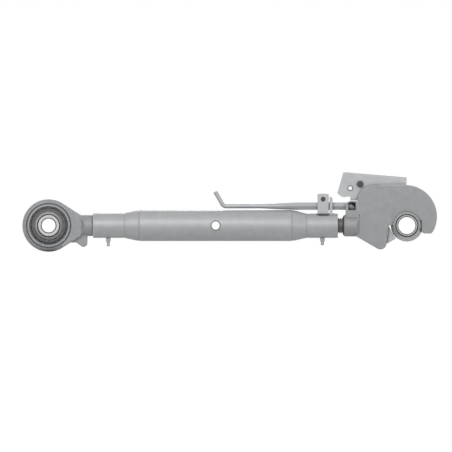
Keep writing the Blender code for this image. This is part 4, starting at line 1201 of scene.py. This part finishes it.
piece("release_lever", release_lever(), "zinc_plate", "release_lever", "release_lever")
piece("cord_eyelets", cord_eyelets(), "spring_steel", "release_lever")

# %% [markdown]
# ## Link pin, washer and clip
# The link pin joins lever and bolt. Its head is on the near side, with a centre dimple from the
# lathe, and a washer and an open retaining ring hold it on the far side.

# %% Link pin, washer and clip
pin_low, pin_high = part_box("link_pin")
washer_low, washer_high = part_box("link_washer")
clip_low, clip_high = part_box("link_clip")
HEAD_RADIUS = 0.0062


def link_pin():
    head = pin_low.y
    under = head + 0.0025
    groove = 0.0034
    section = [(0, pin_high.y), (0.0035, pin_high.y), (PIN_RADIUS, pin_high.y - 0.0005),
               (PIN_RADIUS, clip_high.y + STEP), (groove, clip_high.y + STEP),
               (groove, clip_low.y - STEP), (PIN_RADIUS, clip_low.y - STEP),
               (PIN_RADIUS, under), (HEAD_RADIUS, under), (HEAD_RADIUS, head + 0.0008),
               (0.0060, head + 0.0003), (0.0055, head), (0.0017, head),
               (0.0014, head + 0.0003), (0, head + 0.0016)]
    return lathe(section, LINK_CENTRE, "Y", steps=72)


def flat_ring(inner, outer, low, high):
    shape = lathe([(inner, low), (outer, low), (outer, high), (inner, high)], LINK_CENTRE, "Y",
                  steps=72, closed=True)
    return soften(shape, 0.0002, 2, least=40)


def link_clip():
    mouth = block((-0.0021, 0, -0.01), (0.0021, 0.02, 0))
    bmesh.ops.translate(mouth, vec=LINK_CENTRE, verts=mouth.verts)
    return combined(flat_ring(0.0037, 0.0058, clip_low.y, clip_high.y), [mouth])


piece("link_pin", link_pin(), "spring_steel", "locking_bolt", "link_pin")
piece("link_washer", flat_ring(LINK_HOLE, HEAD_RADIUS, washer_low.y, washer_high.y),
      "zinc_plate", "locking_bolt", "link_washer")
piece("link_clip", link_clip(), "spring_steel", "locking_bolt", "link_clip")

# %% [markdown]
# ## Camera
# The drawing is a true side view without perspective, so the camera is orthographic and looks
# along +Y. One pixel of the drawing is 1.87 mm, and its frame is 452 pixels wide.

# %% Camera
PIXEL = 0.00187
FRAME_PIXELS = 452
view = bpy.data.cameras.new("side_view")
view.type = "ORTHO"
view.ortho_scale = FRAME_PIXELS * PIXEL
camera = linked("side_view", view)
camera.location = (0.3317, -2, -0.0009)
camera.rotation_euler = (math.radians(90), 0, 0)
bpy.context.scene.camera = camera
print("the view is", round(view.ortho_scale, 4), "m wide")

# %% [markdown]
# ## Light and backdrop
# Metal shows what it reflects. Three large soft lamps light the link, the world adds an even
# level, and camera, glossy and transmission rays see a white world. The floor is pale, keeps the
# shadow near the object, and fades to white away from it.

# %% Lamps
MIDDLE = 0.34
WHITE = (1, 1, 1, 1)


def lamp(name, place, size, power):
    made = bpy.data.lights.new(name, "AREA")
    made.shape = "RECTANGLE"
    made.size, made.size_y = size
    made.energy = power
    item = linked(name, made)
    item.location = place
    heading = Vector((MIDDLE, 0, 0)) - Vector(place)
    item.rotation_euler = heading.to_track_quat("-Z", "Y").to_euler()


lamp("key", (-0.1, -1.8, 0.9), (1.5, 1.0), 14)
lamp("fill", (1.4, -1.5, -0.1), (0.9, 0.7), 6)
lamp("back", (0.7, 1.8, 0.9), (1.2, 0.7), 15)
print("lamps:", [item.name for item in bpy.data.lights])

# %% World
world = bpy.data.worlds.new("studio")
world.use_nodes = True
bpy.context.scene.world = world
tree = world.node_tree
tree.nodes.clear()
level = add_node(tree, "Background", Color=WHITE, Strength=0.36)
white = add_node(tree, "Background", Color=WHITE, Strength=1.0)
add_node(tree, "OutputWorld", Surface=mixed_shader(tree, backdrop_seen(tree), level, white))
print("world level", level.inputs["Strength"].default_value)

# %% Floor
FADE_START = 0.5
FADE_WIDTH = 1.1
floor_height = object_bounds()[0].z - STEP
shape = bmesh.new()
bmesh.ops.create_grid(shape, x_segments=8, y_segments=8, size=5)
bmesh.ops.translate(shape, vec=(MIDDLE, 0, floor_height), verts=shape.verts)
floor = loose("floor", shape)
paper = bpy.data.materials.new("pale_floor")
paper.use_nodes = True
tree = paper.node_tree
shader = tree.nodes["Principled BSDF"]
shader.inputs["Base Color"].default_value = (0.88, 0.88, 0.87, 1)
shader.inputs["Roughness"].default_value = 0.9
where = tree.nodes.new("ShaderNodeTexCoord").outputs["Object"]
split = add_node(tree, "SeparateXYZ", Vector=where).outputs
distance = off_axis(tree, maths(tree, "SUBTRACT", split["X"], MIDDLE), split["Y"])
past = maths(tree, "SUBTRACT", distance, FADE_START)
fade = maths(tree, "DIVIDE", past, FADE_WIDTH, clamp=True)
glow = add_node(tree, "Emission", Color=WHITE, Strength=1.0)
either = mixed_shader(tree, maths(tree, "MULTIPLY", fade, backdrop_seen(tree)), shader, glow)
tree.links.new(either, tree.nodes["Material Output"].inputs["Surface"])
floor.data.materials.append(paper)
print("floor at", round(floor_height, 4))

# %% [markdown]
# ## View transform
# The view transform is the plain one, so colours render as they are written.

# %% View transform and count
bpy.context.scene.view_settings.view_transform = "Standard"
print(len(made_pieces), "pieces")
